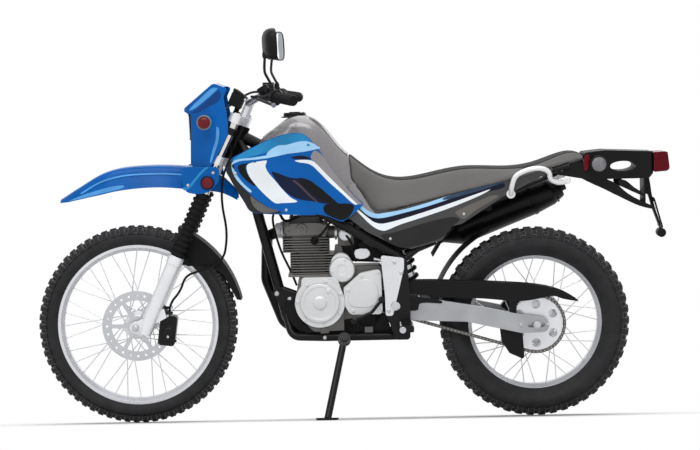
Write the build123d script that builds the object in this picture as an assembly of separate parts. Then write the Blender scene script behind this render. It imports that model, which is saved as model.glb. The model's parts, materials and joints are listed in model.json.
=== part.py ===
from build123d import *
import math
import os

# A 250 cc dual sport motorcycle, parked on its side stand. Millimetres throughout.
# Every piece is drawn on the upright machine: x rearwards from the front axle, y to the rider's
# right, z up from the ground. The last step leans the machine onto its stand.

# ---- stance ----
WHEELBASE = 1360
LEAN = 9
CASTER = 24.5
CLAMP_OFFSET = 28
AXLE_LEAD = 32
PIVOT = (882, 400)

# ---- wheels ----
FRONT_R = 341
FRONT_TYRE_W = 75
FRONT_RIM_R = 280.7
FRONT_RIM_W = 50
REAR_R = 325
REAR_TYRE_W = 120
REAR_RIM_R = 242.6
REAR_RIM_W = 66
RIM_FLANGE = 14
RIM_WALL = 4.5
TYRE_WALL = 8
SECTORS = 30
LUG_SHARE = 0.56
SPOKES = 36
SPOKE_D = 3.6
AXLE_D = 15
AXLE_FIT = 0.5

# ---- fork ----
LEG_SPACING = 178
STANCHION_D = 36
LOWER_D = 50
GAITER_D = 54
STEM_D = 30
HEAD_D = 54
HEAD_LOW = 622
HEAD_LENGTH = 120
CLAMP_T = 30
FIT = 0.3

# ---- brakes ----
FRONT_DISC_R = 120
REAR_DISC_R = 105
DISC_T = 4
FRONT_DISC_Y = -52
REAR_DISC_Y = 72

# ---- chain drive ----
PITCH = 12.7
SPROCKET_TEETH = 48
DRIVE_TEETH = 15
CHAIN_Y = -74
CHAIN_W = 16
CHAIN_H = 11
CHAIN_GAP = 8
ROLLER_R = 4.6
DRIVE_AXLE = (790, 425)

# ---- frame ----
TUBE = 28
CRADLE_Y = 72
CRADLE_Z = 292
PLATE_Y = 120
PLATE_T = 8
RAIL_Y = 78
RAIL_D = 22

# ---- bodywork ----
SHEET = 3
SEAT_GAP = 0.3

# ---- handlebar ----
BAR_D = 22.2
GRIP_D = 33
GRIP_LENGTH = 120
BAR_HALF = 398

parts = {}
caster = math.radians(CASTER)
lean = math.radians(LEAN)
AXIS_X = (CLAMP_OFFSET + AXLE_LEAD) / math.cos(caster)
fork = Plane(
    origin=(AXIS_X, 0, FRONT_R),
    x_dir=(math.cos(caster), 0, -math.sin(caster)),
    z_dir=(math.sin(caster), 0, math.cos(caster)),
)


# ---- building blocks ----
def outline(rows):
    """A closed flat outline from rows of (across, up, corner radius)."""
    corners = [(a, b) for a, b, r in rows]
    return make_face(FilletPolyline(*corners, radius=[r for a, b, r in rows], close=True))


def slab(rows, y_low, y_high):
    """A side-view outline of (x, z, corner radius), solid from y_low to y_high."""
    face = Plane.XZ.offset(-y_low) * outline(rows)
    return extrude(face, amount=y_high - y_low, dir=(0, 1, 0))


def band(points, radii, wall, z_low=0, z_high=1300):
    """A wall standing on a plan-view line of (x, y) points."""
    line = FilletPolyline(*points, radius=radii)
    return extrude(Pos(0, 0, z_low) * trace(line, line_width=wall), amount=z_high - z_low)


def panel(rows, points, radii, wall=SHEET):
    """A side-view outline cut from a wall that follows a plan-view line."""
    low = min(y for x, y in points) - 50
    high = max(y for x, y in points) + 50
    return slab(rows, low, high) & band(points, radii, wall)


def strip(points, radii, wall, y_low, y_high):
    """A sheet that follows a side-view line of (x, z) points, from y_low to y_high."""
    line = FilletPolyline(*points, radius=radii)
    face = Plane.XZ.offset(-y_low) * trace(line, line_width=wall)
    return extrude(face, amount=y_high - y_low, dir=(0, 1, 0))


def rod(start, end, diameter):
    start, end = Vector(*start), Vector(*end)
    circle = Plane(origin=start, z_dir=end - start) * Circle(diameter / 2)
    return extrude(circle, amount=(end - start).length)


def tube(points, radii, diameter, bore=0):
    """A round tube along straight runs joined by arcs."""
    path = FilletPolyline(*points, radius=radii)
    section = Circle(diameter / 2)
    if bore:
        section -= Circle(bore / 2)
    return sweep(Plane(origin=path @ 0, z_dir=path % 0) * section, path=path)


def across(x, z, y_low, y_high, radius, bore=0):
    """A round boss whose axis runs across the machine."""
    section = Circle(radius)
    if bore:
        section -= Circle(bore)
    return extrude(Plane.XZ.offset(-y_low) * Pos(x, z) * section, amount=y_high - y_low,
                   dir=(0, 1, 0))


def both(shape):
    """The shape and its mirror image on the other side of the machine."""
    return shape + mirror(shape, about=Plane.XZ)


def lofted(rows):
    """A body through upright sections: (x, z top, z low, half top, half low, r top, r low)."""
    sections = []
    for x, top, low, wide_top, wide_low, r_top, r_low in rows:
        corners = [(-wide_low, low, r_low), (wide_low, low, r_low),
                   (wide_top, top, r_top), (-wide_top, top, r_top)]
        sections.append(Plane.YZ.offset(x) * outline(corners))
    return loft(Sketch() + sections)


def turned(rows):
    """A body of revolution about the y axis from (radius, y) rows."""
    return revolve(make_face(Polyline(*rows, close=True)), axis=Axis.Y)


# ---- wheels ----
def tyre(outer, width, rim_r, rim_w, lug_h):
    """A tyre in flat sectors, with a staggered row of lugs fused on each side of its middle."""
    half = width / 2
    bead = rim_w / 2 - RIM_WALL
    seat = (rim_r - RIM_FLANGE) / math.cos(math.pi / SECTORS)
    core = outer - lug_h
    belly = rim_r + 0.55 * (core - rim_r)
    # radius, y, from one bead over the tread to the other and back inside
    right = [(seat, bead), (rim_r + 1.5, bead), (belly, 0.95 * half), (core, 0.5 * half)]
    lining = [(core - TYRE_WALL, 0.45 * half), (rim_r + 8, bead - TYRE_WALL * 0.8),
              (seat, bead - TYRE_WALL * 0.8)]
    rows = right + [(r, -y) for r, y in right[::-1]]
    rows += [(r, -y) for r, y in lining[::-1]] + lining
    section = Plane.XY * make_face(Polyline(*rows, close=True))
    step = 360 / SECTORS
    arcs = []
    for start in (0, 180):
        turns = [start + step * i for i in range(SECTORS // 2 + 1)]
        arcs.append(loft(Sketch() + [Rot(0, turn, 0) * section for turn in turns], ruled=True))
    # radius, y, of one lug's side
    block = [(core - 5, 3), (outer, 3), (outer - 3, 0.78 * half), (outer - 2.1 * lug_h, half),
             (core - 8, 0.45 * half)]
    length = LUG_SHARE * outer * math.radians(step)
    face = make_face(Polyline(*block, close=True))
    lug = extrude(face, amount=length / 2, both=True)
    twin = Rot(0, step / 2, 0) * mirror(lug, about=Plane.XZ)
    lugs = [Rot(0, step * i, 0) * one for i in range(SECTORS) for one in (lug, twin)]
    return arcs[0] + arcs[1] + lugs


def rim(rim_r, width):
    seat = rim_r - RIM_FLANGE
    half = width / 2
    inside = half - RIM_WALL
    well = half * 0.45
    return turned([
        (rim_r, half), (seat - 1, half), (seat - 12.7, well), (seat - 12.7, -well),
        (seat - 1, -half), (rim_r, -half), (rim_r, -inside), (seat, -inside),
        (seat - 8, -well * 0.8), (seat - 8, well * 0.8), (seat, inside), (rim_r, inside),
    ])


def laced_hub(rim_r, flange_r, flange_y, rows):
    """A hub turned from rows, with its spokes laced to the rim's inner face."""
    well = rim_r - RIM_FLANGE - 12.7
    step = 360 / SPOKES
    spokes = []
    for side in (-1, 1):
        for i in range(SPOKES // 4):
            for lead, turn in ((0, 6), (2, -6)):
                start = math.radians((4 * i + lead + (side > 0)) * step)
                end = start + math.radians(turn * step)
                spokes.append(rod(
                    (flange_r * math.cos(start), side * flange_y, flange_r * math.sin(start)),
                    ((well + 1) * math.cos(end), side * 5, (well + 1) * math.sin(end)),
                    SPOKE_D,
                ))
    limit = turned([(0, -200), (well, -200), (well, 200), (0, 200)])
    return ((turned(rows) + spokes) & limit) - across(0, 0, -200, 200, AXLE_D / 2 + AXLE_FIT)


def disc(radius, y, hub_r, arms):
    """A brake disc: a ring on a spider, with a row of holes through the ring."""
    ring = across(0, 0, y - DISC_T / 2, y + DISC_T / 2, radius, radius - 32)
    core = across(0, 0, y - DISC_T / 2, y + DISC_T / 2, hub_r, hub_r - 16)
    for i in range(arms):
        arm = Box(radius - 32 - hub_r + 12, DISC_T, 14)
        core += Rot(0, 360 / arms * i, 0) * Pos((radius - 32 + hub_r) / 2 - 2, y, 0) * arm
    disc_ring = ring + core
    for i in range(arms * 4):
        place = Rot(0, 360 / (arms * 4) * i, 0) * Pos(radius - 16, 0, 0)
        disc_ring -= place * across(0, 0, y - DISC_T, y + DISC_T, 4)
    return disc_ring


front = Pos(0, 0, FRONT_R)
rear = Pos(WHEELBASE, 0, REAR_R)
disc_face = FRONT_DISC_Y + DISC_T / 2
sprocket_face = CHAIN_Y + 3

parts["front_tyre"] = front * tyre(FRONT_R, FRONT_TYRE_W, FRONT_RIM_R, FRONT_RIM_W, 10)
parts["front_rim"] = front * rim(FRONT_RIM_R, FRONT_RIM_W)
parts["front_hub"] = front * laced_hub(FRONT_RIM_R, 42, 27, [
    (0, disc_face), (34, disc_face), (34, -34), (48, -30), (48, -24), (24, -20),
    (24, 20), (48, 24), (48, 30), (22, 34), (20, 44), (0, 44),
])
parts["front_disc"] = front * disc(FRONT_DISC_R, FRONT_DISC_Y, 34, 6)

parts["rear_tyre"] = rear * tyre(REAR_R, REAR_TYRE_W, REAR_RIM_R, REAR_RIM_W, 13)
parts["rear_rim"] = rear * rim(REAR_RIM_R, REAR_RIM_W)
parts["rear_hub"] = rear * laced_hub(REAR_RIM_R, 64, 34, [
    (0, sprocket_face), (52, sprocket_face), (52, -42), (72, -38), (72, -30), (58, -26),
    (58, 26), (72, 30), (72, 38), (36, 44), (36, REAR_DISC_Y - DISC_T / 2),
    (0, REAR_DISC_Y - DISC_T / 2),
])
parts["rear_disc"] = rear * disc(REAR_DISC_R, REAR_DISC_Y, 36, 6)

# ---- stance: lean onto the stand, both tyres on the ground ----
leaned = Rot(LEAN, 0, 0)
front_low, rear_low = [(leaned * parts[name]).bounding_box().min.Z
                       for name in ("front_tyre", "rear_tyre")]
pitch = math.degrees(math.asin((rear_low - front_low) / WHEELBASE))
stance = Pos(0, 0, -front_low) * Rot(0, pitch, 0) * leaned
bench = Plane(stance)

# ---- sprocket and chain ----
sprocket_r = PITCH / 2 / math.sin(math.pi / SPROCKET_TEETH)
drive_r = PITCH / 2 / math.sin(math.pi / DRIVE_TEETH)
sprocket = across(0, 0, CHAIN_Y - 3, CHAIN_Y + 3, sprocket_r - 5, 24)
window = Pos(66, 0, 0) * across(0, 0, CHAIN_Y - 9, CHAIN_Y + 9, 15)
notch = Pos(sprocket_r - 4, 0, 0) * across(0, 0, CHAIN_Y - 9, CHAIN_Y + 9, ROLLER_R)
tooth = 360 / SPROCKET_TEETH
sprocket -= [Rot(0, 60 * i + 30, 0) * window for i in range(6)]
sprocket -= [Rot(0, tooth * i, 0) * notch for i in range(SPROCKET_TEETH)]
parts["rear_sprocket"] = rear * sprocket


def chain_outline(grow):
    """The chain's loop round both sprockets, grown outwards from its pitch line."""
    x0, z0 = DRIVE_AXLE
    x1, z1 = WHEELBASE, REAR_R
    span = math.hypot(x1 - x0, z1 - z0)
    tilt = math.atan2(z1 - z0, x1 - x0)
    spread = math.acos((drive_r - sprocket_r) / span)
    corners = {}
    for side in (1, -1):
        angle = tilt + side * spread
        for name, x, z, r in (("drive", x0, z0, drive_r), ("rear", x1, z1, sprocket_r)):
            r = r + grow
            corners[name, side] = (x + r * math.cos(angle), z + r * math.sin(angle))
    ends = {
        "drive": (x0 - (drive_r + grow) * math.cos(tilt), z0 - (drive_r + grow) * math.sin(tilt)),
        "rear": (x1 + (sprocket_r + grow) * math.cos(tilt),
                 z1 + (sprocket_r + grow) * math.sin(tilt)),
    }
    return make_face([
        Line(corners["drive", 1], corners["rear", 1]),
        ThreePointArc(corners["rear", 1], ends["rear"], corners["rear", -1]),
        Line(corners["rear", -1], corners["drive", -1]),
        ThreePointArc(corners["drive", -1], ends["drive"], corners["drive", 1]),
    ])


loop = chain_outline(CHAIN_H / 2) - chain_outline(-CHAIN_H / 2)
chain = extrude(Plane.XZ.offset(-(CHAIN_Y - CHAIN_W / 2)) * loop, amount=CHAIN_W, dir=(0, 1, 0))
groove = chain_outline(-PITCH * 0.33) - chain_outline(-CHAIN_H)
chain -= extrude(Plane.XZ.offset(-(CHAIN_Y - CHAIN_GAP / 2)) * groove, amount=CHAIN_GAP,
                 dir=(0, 1, 0))
parts["drive_chain"] = chain

# ---- fork, drawn along the steering axis: across f, side y, up s ----
leg = LEG_SPACING / 2
leg_f = -CLAMP_OFFSET
AXLE_BOSS_R = 20
LOWER_TOP = 250
GAITER_TOP = 484
CLAMP_TOP = HEAD_LOW + HEAD_LENGTH + 1
LEG_TOP = CLAMP_TOP + CLAMP_T + 4


def leg_tube(low, high, diameter, bore=0):
    section = Circle(diameter / 2)
    if bore:
        section -= Circle(bore / 2)
    return fork * extrude(Pos(leg_f, leg, low) * section, amount=high - low)


lower = leg_tube(-38, LOWER_TOP, LOWER_D)
lower += leg_tube(LOWER_TOP - 30, LOWER_TOP - 4, LOWER_D + 6)
lower += across(0, FRONT_R, leg - 24, leg + 22, AXLE_BOSS_R)
lower += slab([(-17, FRONT_R - 16, 3), (20, FRONT_R - 30, 3), (46, FRONT_R + 40, 3),
               (6, FRONT_R + 22, 3)], leg - 12, leg + 12)
lower -= leg_tube(40, LOWER_TOP + 1, STANCHION_D + 2 * FIT)
lower -= across(0, FRONT_R, 0, 200, AXLE_D / 2 + 0.1)
lowers = both(lower)
mount = slab([(40, 372, 3), (96, 404, 3), (104, 372, 3), (52, 345, 3)], -leg - 8, -leg + 8)
mount -= mirror(leg_tube(-100, 400, LOWER_D - 1), about=Plane.XZ)
parts["fork_lowers"] = lowers + mount

parts["fork_stanchions"] = both(leg_tube(60, LEG_TOP, STANCHION_D))
folds = 12
fold = (GAITER_TOP - LOWER_TOP) / folds
gaiter = leg_tube(LOWER_TOP + FIT, GAITER_TOP, GAITER_D - 10, STANCHION_D + 2 * FIT)
for i in range(folds):
    gaiter += leg_tube(LOWER_TOP + fold * (i + 0.25), LOWER_TOP + fold * (i + 0.75), GAITER_D,
                       STANCHION_D + 2 * FIT)
parts["fork_gaiters"] = both(gaiter)

axle = across(0, FRONT_R, -leg - 26, leg + 26, AXLE_D / 2)
axle += across(0, FRONT_R, leg + 22 + FIT, leg + 32, 13)
axle += across(0, FRONT_R, -leg - 32, -leg - 22 - FIT, 13)
axle += across(0, FRONT_R, 44 + AXLE_FIT, leg - 24 - FIT, 12)
axle += across(0, FRONT_R, -leg + 24 + FIT, disc_face - DISC_T - AXLE_FIT, 12)
parts["front_axle"] = axle


def clamp(low, front_f):
    """A triple clamp: a bridge with two leg bosses, the stem's seat in the middle."""
    rows = [(front_f, -leg + 6, 8), (14, -45, 12), (20, 0, 10), (14, 45, 12),
            (front_f, leg - 6, 8), (front_f - 8, 40, 10), (front_f - 8, -40, 10)]
    bridge = Pos(0, 0, low) * extrude(outline(rows), amount=CLAMP_T)
    for side in (-1, 1):
        boss = Circle(STANCHION_D / 2 + 5)
        bridge += Pos(leg_f, side * leg, low) * extrude(boss, amount=CLAMP_T)
        hole = Circle(STANCHION_D / 2 + 0.1)
        bridge -= Pos(leg_f, side * leg, low - 1) * extrude(hole, amount=CLAMP_T + 2)
    return bridge


low_clamp = HEAD_LOW - 1 - CLAMP_T
clamps = clamp(low_clamp, leg_f) + clamp(CLAMP_TOP, leg_f)
clamps += Pos(0, 0, low_clamp) * extrude(Circle(STEM_D / 2), amount=CLAMP_TOP - low_clamp + 42)
clamps += Pos(0, 0, CLAMP_TOP) * extrude(Circle(20), amount=CLAMP_T + 3)
clamps += Pos(0, 0, low_clamp) * extrude(Circle(21), amount=CLAMP_T)
clamps = fork * clamps
BAR_X = 400
BAR_Z = 1092
riser_top = fork.to_local_coords(Vector(BAR_X, 0, BAR_Z))
for side in (-1, 1):
    post = Pos(riser_top.X, side * 45, CLAMP_TOP + CLAMP_T - 1)
    clamps += fork * post * extrude(Circle(14), amount=riser_top.Z - CLAMP_TOP - CLAMP_T + 12)
clamps -= across(BAR_X, BAR_Z, -90, 90, BAR_D / 2 + 0.1)
parts["triple_clamps"] = clamps

# ---- handlebar and what it carries ----
BEND = 60
bar_line = [(BAR_X, 0, BAR_Z), (BAR_X, 95, BAR_Z), (452, 215, 1124), (556, BAR_HALF, 1104)]
half_bar = tube(bar_line, [BEND, BEND + 30], BAR_D)
parts["handlebar"] = both(half_bar)
grip_end = Vector(*bar_line[3])
grip_dir = (grip_end - Vector(*bar_line[2])).normalized()
grip_start = grip_end - grip_dir * (GRIP_LENGTH - 6)
grip = rod(grip_start, grip_end + grip_dir * 6, GRIP_D)
grip += rod(grip_start, grip_start + grip_dir * 6, GRIP_D + 12)
grip -= rod(grip_start - grip_dir, grip_end, BAR_D + 0.2)
parts["grips"] = both(grip)

perch = grip_start - grip_dir * 32
lever = rod(perch - grip_dir * 12, perch + grip_dir * 12, 38)
lever += rod(grip_start - grip_dir * 12, grip_start - grip_dir * 2, 36)
lever += rod(perch + Vector(-10, 0, 0), perch + Vector(-44, 0, -6), 16)
lever += tube([perch + Vector(-40, -6, -5), perch + Vector(-44, 26, -8),
               grip_end + Vector(-62, -18, -14)], [24], 10)
ahead = Vector(-30, 0, 6)
master_end = perch + ahead - grip_dir * 40
master = rod(perch + ahead + grip_dir * 16, master_end, 22) + rod(perch, perch + ahead, 20)
master += rod(perch + Vector(-30, -14, 10), perch + Vector(-30, -14, 42), 42)
lever_set = both(lever) + master - both(rod(perch - grip_dir * 60, grip_end, BAR_D + 0.2))
parts["levers"] = lever_set

stem_foot = perch + Vector(0, 0, 19.8)
mirror_x = 470
mirror_y = 330
stem_top = Vector(mirror_x, mirror_y, 1262)
mirror_stem = tube([stem_foot, stem_foot + Vector(4, 0, 46), stem_top], [26], 10)
head = Pos(mirror_x, mirror_y + 8, 1288) * Rot(0, 0, 8) * extrude(
    Plane.YZ.offset(-12) * Ellipse(62, 50), amount=24)
parts["mirrors"] = both(mirror_stem + head)

# ---- headlight cowl, lamp and dial ----
COWL_HALF = 118
cowl_rows = [(171, 1073, 6), (283, 1163, 14), (330, 1145, 8), (316, 1115, 12), (326, 1060, 10),
             (334, 1001, 12), (299, 933, 10), (267, 879, 12), (198, 880, 16), (200, 969, 4),
             (191, 1062, 4)]
cowl_plan = [(345, -COWL_HALF), (262, -COWL_HALF + 2), (178, -60), (178, 60),
             (262, COWL_HALF - 2), (345, COWL_HALF)]
cowl_mass = extrude(make_face(FilletPolyline(*cowl_plan, radius=[30, 30, 30, 30, 1, 1],
                                             close=True)), amount=1300)
cowl = slab(cowl_rows, -COWL_HALF, COWL_HALF) & cowl_mass
cowl_inner = slab([(190, 1071, 4), (285, 1150, 10), (400, 1150, 0), (400, 780, 0),
                   (234, 866, 6), (206, 900, 6)], -COWL_HALF + 4, COWL_HALF - 4)
cowl_plan_in = [(360, -COWL_HALF + 4), (264, -COWL_HALF + 6), (184, -56), (184, 56),
                (264, COWL_HALF - 6), (360, COWL_HALF - 4)]
cowl_inner &= extrude(make_face(FilletPolyline(*cowl_plan_in, radius=[1, 30, 26, 26, 30, 1],
                                               close=True)), amount=1300)
lamp_rows = [(150, 972, 2), (150, 1060, 2), (240, 1060, 2), (240, 972, 2)]
cowl -= cowl_inner
cowl -= slab(lamp_rows, -76, 76)
parts["headlight_cowl"] = cowl
lamp = slab([(198, 973, 3), (194, 1059, 3), (262, 1052, 16), (290, 1020, 16), (262, 980, 16)],
            -75, 75)
lamp = lamp & extrude(make_face(FilletPolyline((186, -60), (186, 60), (226, 75.5), (300, 75.5),
                      (300, -75.5), (226, -75.5), radius=[12, 12, 20, 30, 30, 20], close=True)),
                      amount=1300)
parts["headlight"] = lamp

dial = fork * Pos(-52, 0, CLAMP_TOP + CLAMP_T + 40) * Box(46, 112, 44)
dial += fork * Pos(-40, 0, CLAMP_TOP + CLAMP_T + 9) * Box(16, 40, 18)
parts["instrument"] = dial

STAY_LOW = 700
stay = slab([(262, 990, 4), (262, 1030, 4), (345, 1024, 4), (345, 985, 4)], 75.2, 79)
stay += slab([(264, 992, 4), (264, 1026, 4), (292, 1026, 4), (292, 992, 4)], 79, COWL_HALF - 4.5)
stay += leg_tube(STAY_LOW, STAY_LOW + 24, STANCHION_D + 10)
stay -= leg_tube(STAY_LOW - 100, STAY_LOW + 100, STANCHION_D + 0.2)
parts["lamp_stays"] = both(stay) - cowl

signal = across(253, 1033, 140, 180, 24) + across(253, 1033, 100, 140, 7)
parts["front_signals"] = both(signal) - cowl - cowl_inner

# ---- front mudguard and leg guard ----
guard_rows = [
    # x, z top, z low, half top, half low, r top, r low
    (-255, 772, 762, 20, 26, 2, 2),
    (-191, 800, 774, 46, 58, 12, 1),
    (-105, 842, 790, 58, 76, 18, 1),
    (51, 881, 812, 62, 82, 20, 1),
    (170, 880, 806, 60, 78, 20, 1),
    (236, 880, 800, 48, 56, 18, 1),
    (300, 846, 792, 46, 52, 14, 1),
    (352, 792, 764, 42, 46, 10, 1),
]
guard_inner = [(x, top - SHEET, low - 8, wide_top - SHEET, wide_low - SHEET, max(r - SHEET, 1), 1)
               for x, top, low, wide_top, wide_low, r, r_low in guard_rows]
mudguard = lofted(guard_rows) - lofted(guard_inner)
parts["front_mudguard"] = mudguard
guard_seat = fork * Pos(leg_f - 4, 0, low_clamp - 30) * Box(40, 70, 60)
guard_seat -= lofted([(x, top + FIT, low, wt, wl, r, rl)
                      for x, top, low, wt, wl, r, rl in guard_rows])
parts["triple_clamps"] += guard_seat

LEG_GUARD_R = FRONT_R + 25
LEG_GUARD_HALF = 48
hood = turned([
    (250, LEG_GUARD_HALF), (LEG_GUARD_R, LEG_GUARD_HALF), (LEG_GUARD_R, -LEG_GUARD_HALF),
    (250, -LEG_GUARD_HALF), (250, SHEET - LEG_GUARD_HALF),
    (LEG_GUARD_R - SHEET, SHEET - LEG_GUARD_HALF), (LEG_GUARD_R - SHEET, LEG_GUARD_HALF - SHEET),
    (250, LEG_GUARD_HALF - SHEET),
])
hood_rows = [(148, 760, 1), (420, 760, 1), (420, 412, 1), (342, 424, 4), (300, 505, 30),
             (258, 548, 30), (172, 541, 12), (146, 600, 20)]
leg_guard = (front * hood) & slab(hood_rows, -60, 60)
leg_guard += both(slab([(146, 548, 4), (146, 572, 4), (182, 572, 4), (182, 548, 4)],
                       LEG_GUARD_HALF - 1, leg - 18))
parts["leg_guard"] = leg_guard - lowers - parts["fork_gaiters"]

CALIPER_FIT = 4
caliper = Pos(FRONT_DISC_R - 14, 0, 0) * Box(58, leg - 8.3 - 33, 104)
caliper = fillet(caliper.edges().filter_by(Axis.Y), 12)
caliper = Pos(0, -(leg - 8.3 + 33) / 2, 0) * caliper
caliper -= across(0, 0, FRONT_DISC_Y - 5, FRONT_DISC_Y + 5, FRONT_DISC_R + CALIPER_FIT)
parts["front_caliper"] = Pos(0, 0, FRONT_R) * Rot(0, 8, 0) * caliper

# ---- frame ----
head_low = fork.from_local_coords(Vector(0, 0, HEAD_LOW))
head_mid = fork.from_local_coords(Vector(0, 0, HEAD_LOW + 68))
head_high = fork.from_local_coords(Vector(0, 0, HEAD_LOW + HEAD_LENGTH - 34))
DOWN_FOOT = (512, 0, 350)
DOWN_D = 36
SPAR_D = 32
spar_line = [(head_mid.X, 8, head_mid.Z), (450, 70, 826), (903, 100, 562), (905, 100, 490)]
head_tube = fork * Pos(0, 0, HEAD_LOW) * extrude(Circle(HEAD_D / 2), amount=HEAD_LENGTH)
frame = head_tube + rod(head_mid, DOWN_FOOT, DOWN_D)
frame += rod(head_high, (640, 0, 835), 40) + rod((640, -78, 738), (640, 78, 738), 24)
frame += rod((630, 0, 838), (640, 0, 738), 30)
frame += both(tube(spar_line, [60, 40], SPAR_D))
cradle = tube([(506, 0, 372), (528, 40, CRADLE_Z), (640, CRADLE_Y, CRADLE_Z),
               (906, CRADLE_Y, CRADLE_Z)], [40, 80], TUBE)
frame += both(cradle)
frame += rod((640, -CRADLE_Y, CRADLE_Z), (640, CRADLE_Y, CRADLE_Z), 20)
frame += rod((906, 1 - PLATE_Y, 298), (906, PLATE_Y - 1, 298), 26)
plate_rows = [(848, 570, 8), (922, 566, 12), (932, 400, 30), (930, 284, 12), (882, 284, 12),
              (846, 380, 20)]
frame += both(slab(plate_rows, PLATE_Y - PLATE_T, PLATE_Y))
frame -= fork * extrude(Circle(STEM_D / 2 + 0.5), amount=900)
frame -= across(*PIVOT, -150, 150, 8.5)
engine_mounts = slab([(470, 470, 8), (548, 440, 8), (548, 380, 8), (486, 400, 8)], 30, 35)
frame += both(engine_mounts)
frame += both(slab([(486, 400, 4), (500, 440, 4), (478, 470, 4), (462, 440, 4)], 12, 32))
parts["main_frame"] = frame

cover_rows = [(834, 573, 8), (913, 562, 8), (912, 527, 20), (872, 367, 8), (848, 367, 8),
              (846, 440, 60)]
pivot_cover = slab(cover_rows, PLATE_Y + FIT, PLATE_Y + 5)
parts["pivot_covers"] = both(pivot_cover)

rail_line = [(752, 92, 664), (842, 80, 704), (1480, RAIL_Y, 861)]
subframe = both(tube(rail_line, [80], RAIL_D))
subframe += both(rod((905, 104, 548), (1236, 80, 800), 20))
for x in (900, 1190, 1440):
    z = 861 + (x - 1480) * 0.2461
    subframe += rod((x, -RAIL_Y, z), (x, RAIL_Y, z), 18)
shock_top = (880, 0, 690)
subframe += both(slab([(862, 672, 6), (862, 716, 6), (900, 716, 6), (900, 672, 6)], 26, 34))
subframe += rod((881, -82, 710), (881, -26, 710), 16) + rod((881, 26, 710), (881, 82, 710), 16)
parts["rear_subframe"] = subframe - frame

# ---- swingarm and shock ----
arm_rows = [(862, 400, 16), (880, 430, 20), (901, 436, 20), (1140, 396, 60), (1300, 362, 30),
            (1398, 348, 20), (1402, 300, 20), (1310, 297, 30), (1122, 340, 60), (933, 348, 40),
            (872, 370, 20)]
arm = slab(arm_rows, 90, 110)
arm -= slab([(1328, 316, 8), (1328, 332, 8), (1386, 332, 8), (1386, 316, 8)], 80, 130)
swingarm = both(arm) + across(*PIVOT, -111, 111, 18) + across(950, 394, -90, 90, 25)
swingarm += rod((950, -70, 394), (950, -30, 394), 50)
swingarm += both(slab([(930, 400, 6), (930, 446, 10), (962, 446, 10), (962, 400, 6)], 22, 30))
swingarm -= across(*PIVOT, -150, 150, 8)
parts["swingarm"] = swingarm
parts["swingarm_pivot"] = (across(*PIVOT, -PLATE_Y - 8, PLATE_Y + 8, 7.8)
                           + both(across(*PIVOT, PLATE_Y + FIT, PLATE_Y + 12, 14)))
parts["pivot_covers"] -= across(*PIVOT, -200, 200, 15)

shock_low = Vector(946, 0, 432)
shock_head = Vector(*shock_top)
shock_dir = (shock_head - shock_low).normalized()
shock = across(shock_low.X, shock_low.Z, -21.7, 21.7, 12)
shock += across(shock_head.X, shock_head.Z, -25.7, 25.7, 14)
shock += rod(shock_low, shock_head, 34)
shock += rod(shock_low + shock_dir * 20, shock_low + shock_dir * 30, 66)
shock += rod(shock_head - shock_dir * 40, shock_head - shock_dir * 22, 66)
coils = 6
for i in range(coils):
    step = 38 + i * ((shock_head - shock_low).length - 86) / (coils - 0.5)
    shock += rod(shock_low + shock_dir * step, shock_low + shock_dir * (step + 13), 62)
parts["rear_shock"] = shock

# ---- rear axle and brake ----
rear_axle = across(WHEELBASE, REAR_R, -122, 122, AXLE_D / 2)
rear_axle += both(across(WHEELBASE, REAR_R, 110 + FIT, 122, 13))
rear_axle += across(WHEELBASE, REAR_R, -90 + FIT, CHAIN_Y - 3 - AXLE_FIT - 5, 14)
rear_axle += across(WHEELBASE, REAR_R, REAR_DISC_Y + DISC_T / 2 + AXLE_FIT, 90 - FIT, 14)
parts["rear_axle"] = rear_axle
parts["swingarm"] -= across(WHEELBASE, REAR_R, -150, 150, AXLE_D / 2 + 0.1)
rear_caliper = Pos(-REAR_DISC_R + 12, 0, 0) * Box(46, 34, 70)
rear_caliper = fillet(rear_caliper.edges().filter_by(Axis.Y), 8)
rear_caliper -= across(0, 0, -5, 5, REAR_DISC_R + 3)
rear_caliper = Pos(WHEELBASE, REAR_DISC_Y, REAR_R) * Rot(0, 40, 0) * rear_caliper
parts["rear_caliper"] = rear_caliper - arm

# ---- engine ----
CASE_LEFT = -72
CASE_RIGHT = 76
case_rows = [(538, 400, 20), (556, 500, 14), (700, 505, 20), (738, 530, 20), (838, 530, 12),
             (846, 372, 15), (800, 318, 20), (600, 310, 30)]
case = slab(case_rows, CASE_LEFT, CASE_RIGHT)
case -= slab([(706, 280, 1), (706, 470, 30), (760, 540, 1), (900, 540, 1), (900, 280, 1)],
             CASE_LEFT - 1, CHAIN_Y + 16)
case += across(*DRIVE_AXLE, CHAIN_Y - 6, CHAIN_Y + 17, 12)
case += across(*DRIVE_AXLE, CHAIN_Y - 3, CHAIN_Y + 3, drive_r - 5)
for x in (640, 790):
    case += both(slab([(x - 14, 305, 3), (x - 14, 325, 3), (x + 14, 325, 3), (x + 14, 305, 3)],
                      CRADLE_Y - 8, CRADLE_Y + 4))
parts["crankcase"] = case - frame

cylinder = extrude(Pos(603, 0, 505) * RectangleRounded(104, 108, 20), amount=78)
fins = 8
for i in range(fins):
    cylinder += extrude(Pos(603, 0, 510 + i * 9) * RectangleRounded(152, 148, 16), amount=3)
parts["cylinder"] = cylinder
head = extrude(Pos(582, 0, 583) * RectangleRounded(110, 108, 16), amount=60)
for i in range(6):
    head += extrude(Pos(582, 0, 583 + i * 9) * RectangleRounded(160, 140, 16), amount=3)
head += extrude(Pos(582, 0, 640) * RectangleRounded(150, 128, 24), amount=42)
head += extrude(Pos(582, 0, 682) * RectangleRounded(120, 104, 24), amount=20, taper=20)
head += rod((510, 38, 650), (486, 44, 648), 46)
head += rod((650, 0, 646), (678, 0, 646), 44)
parts["cylinder_head"] = head

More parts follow.
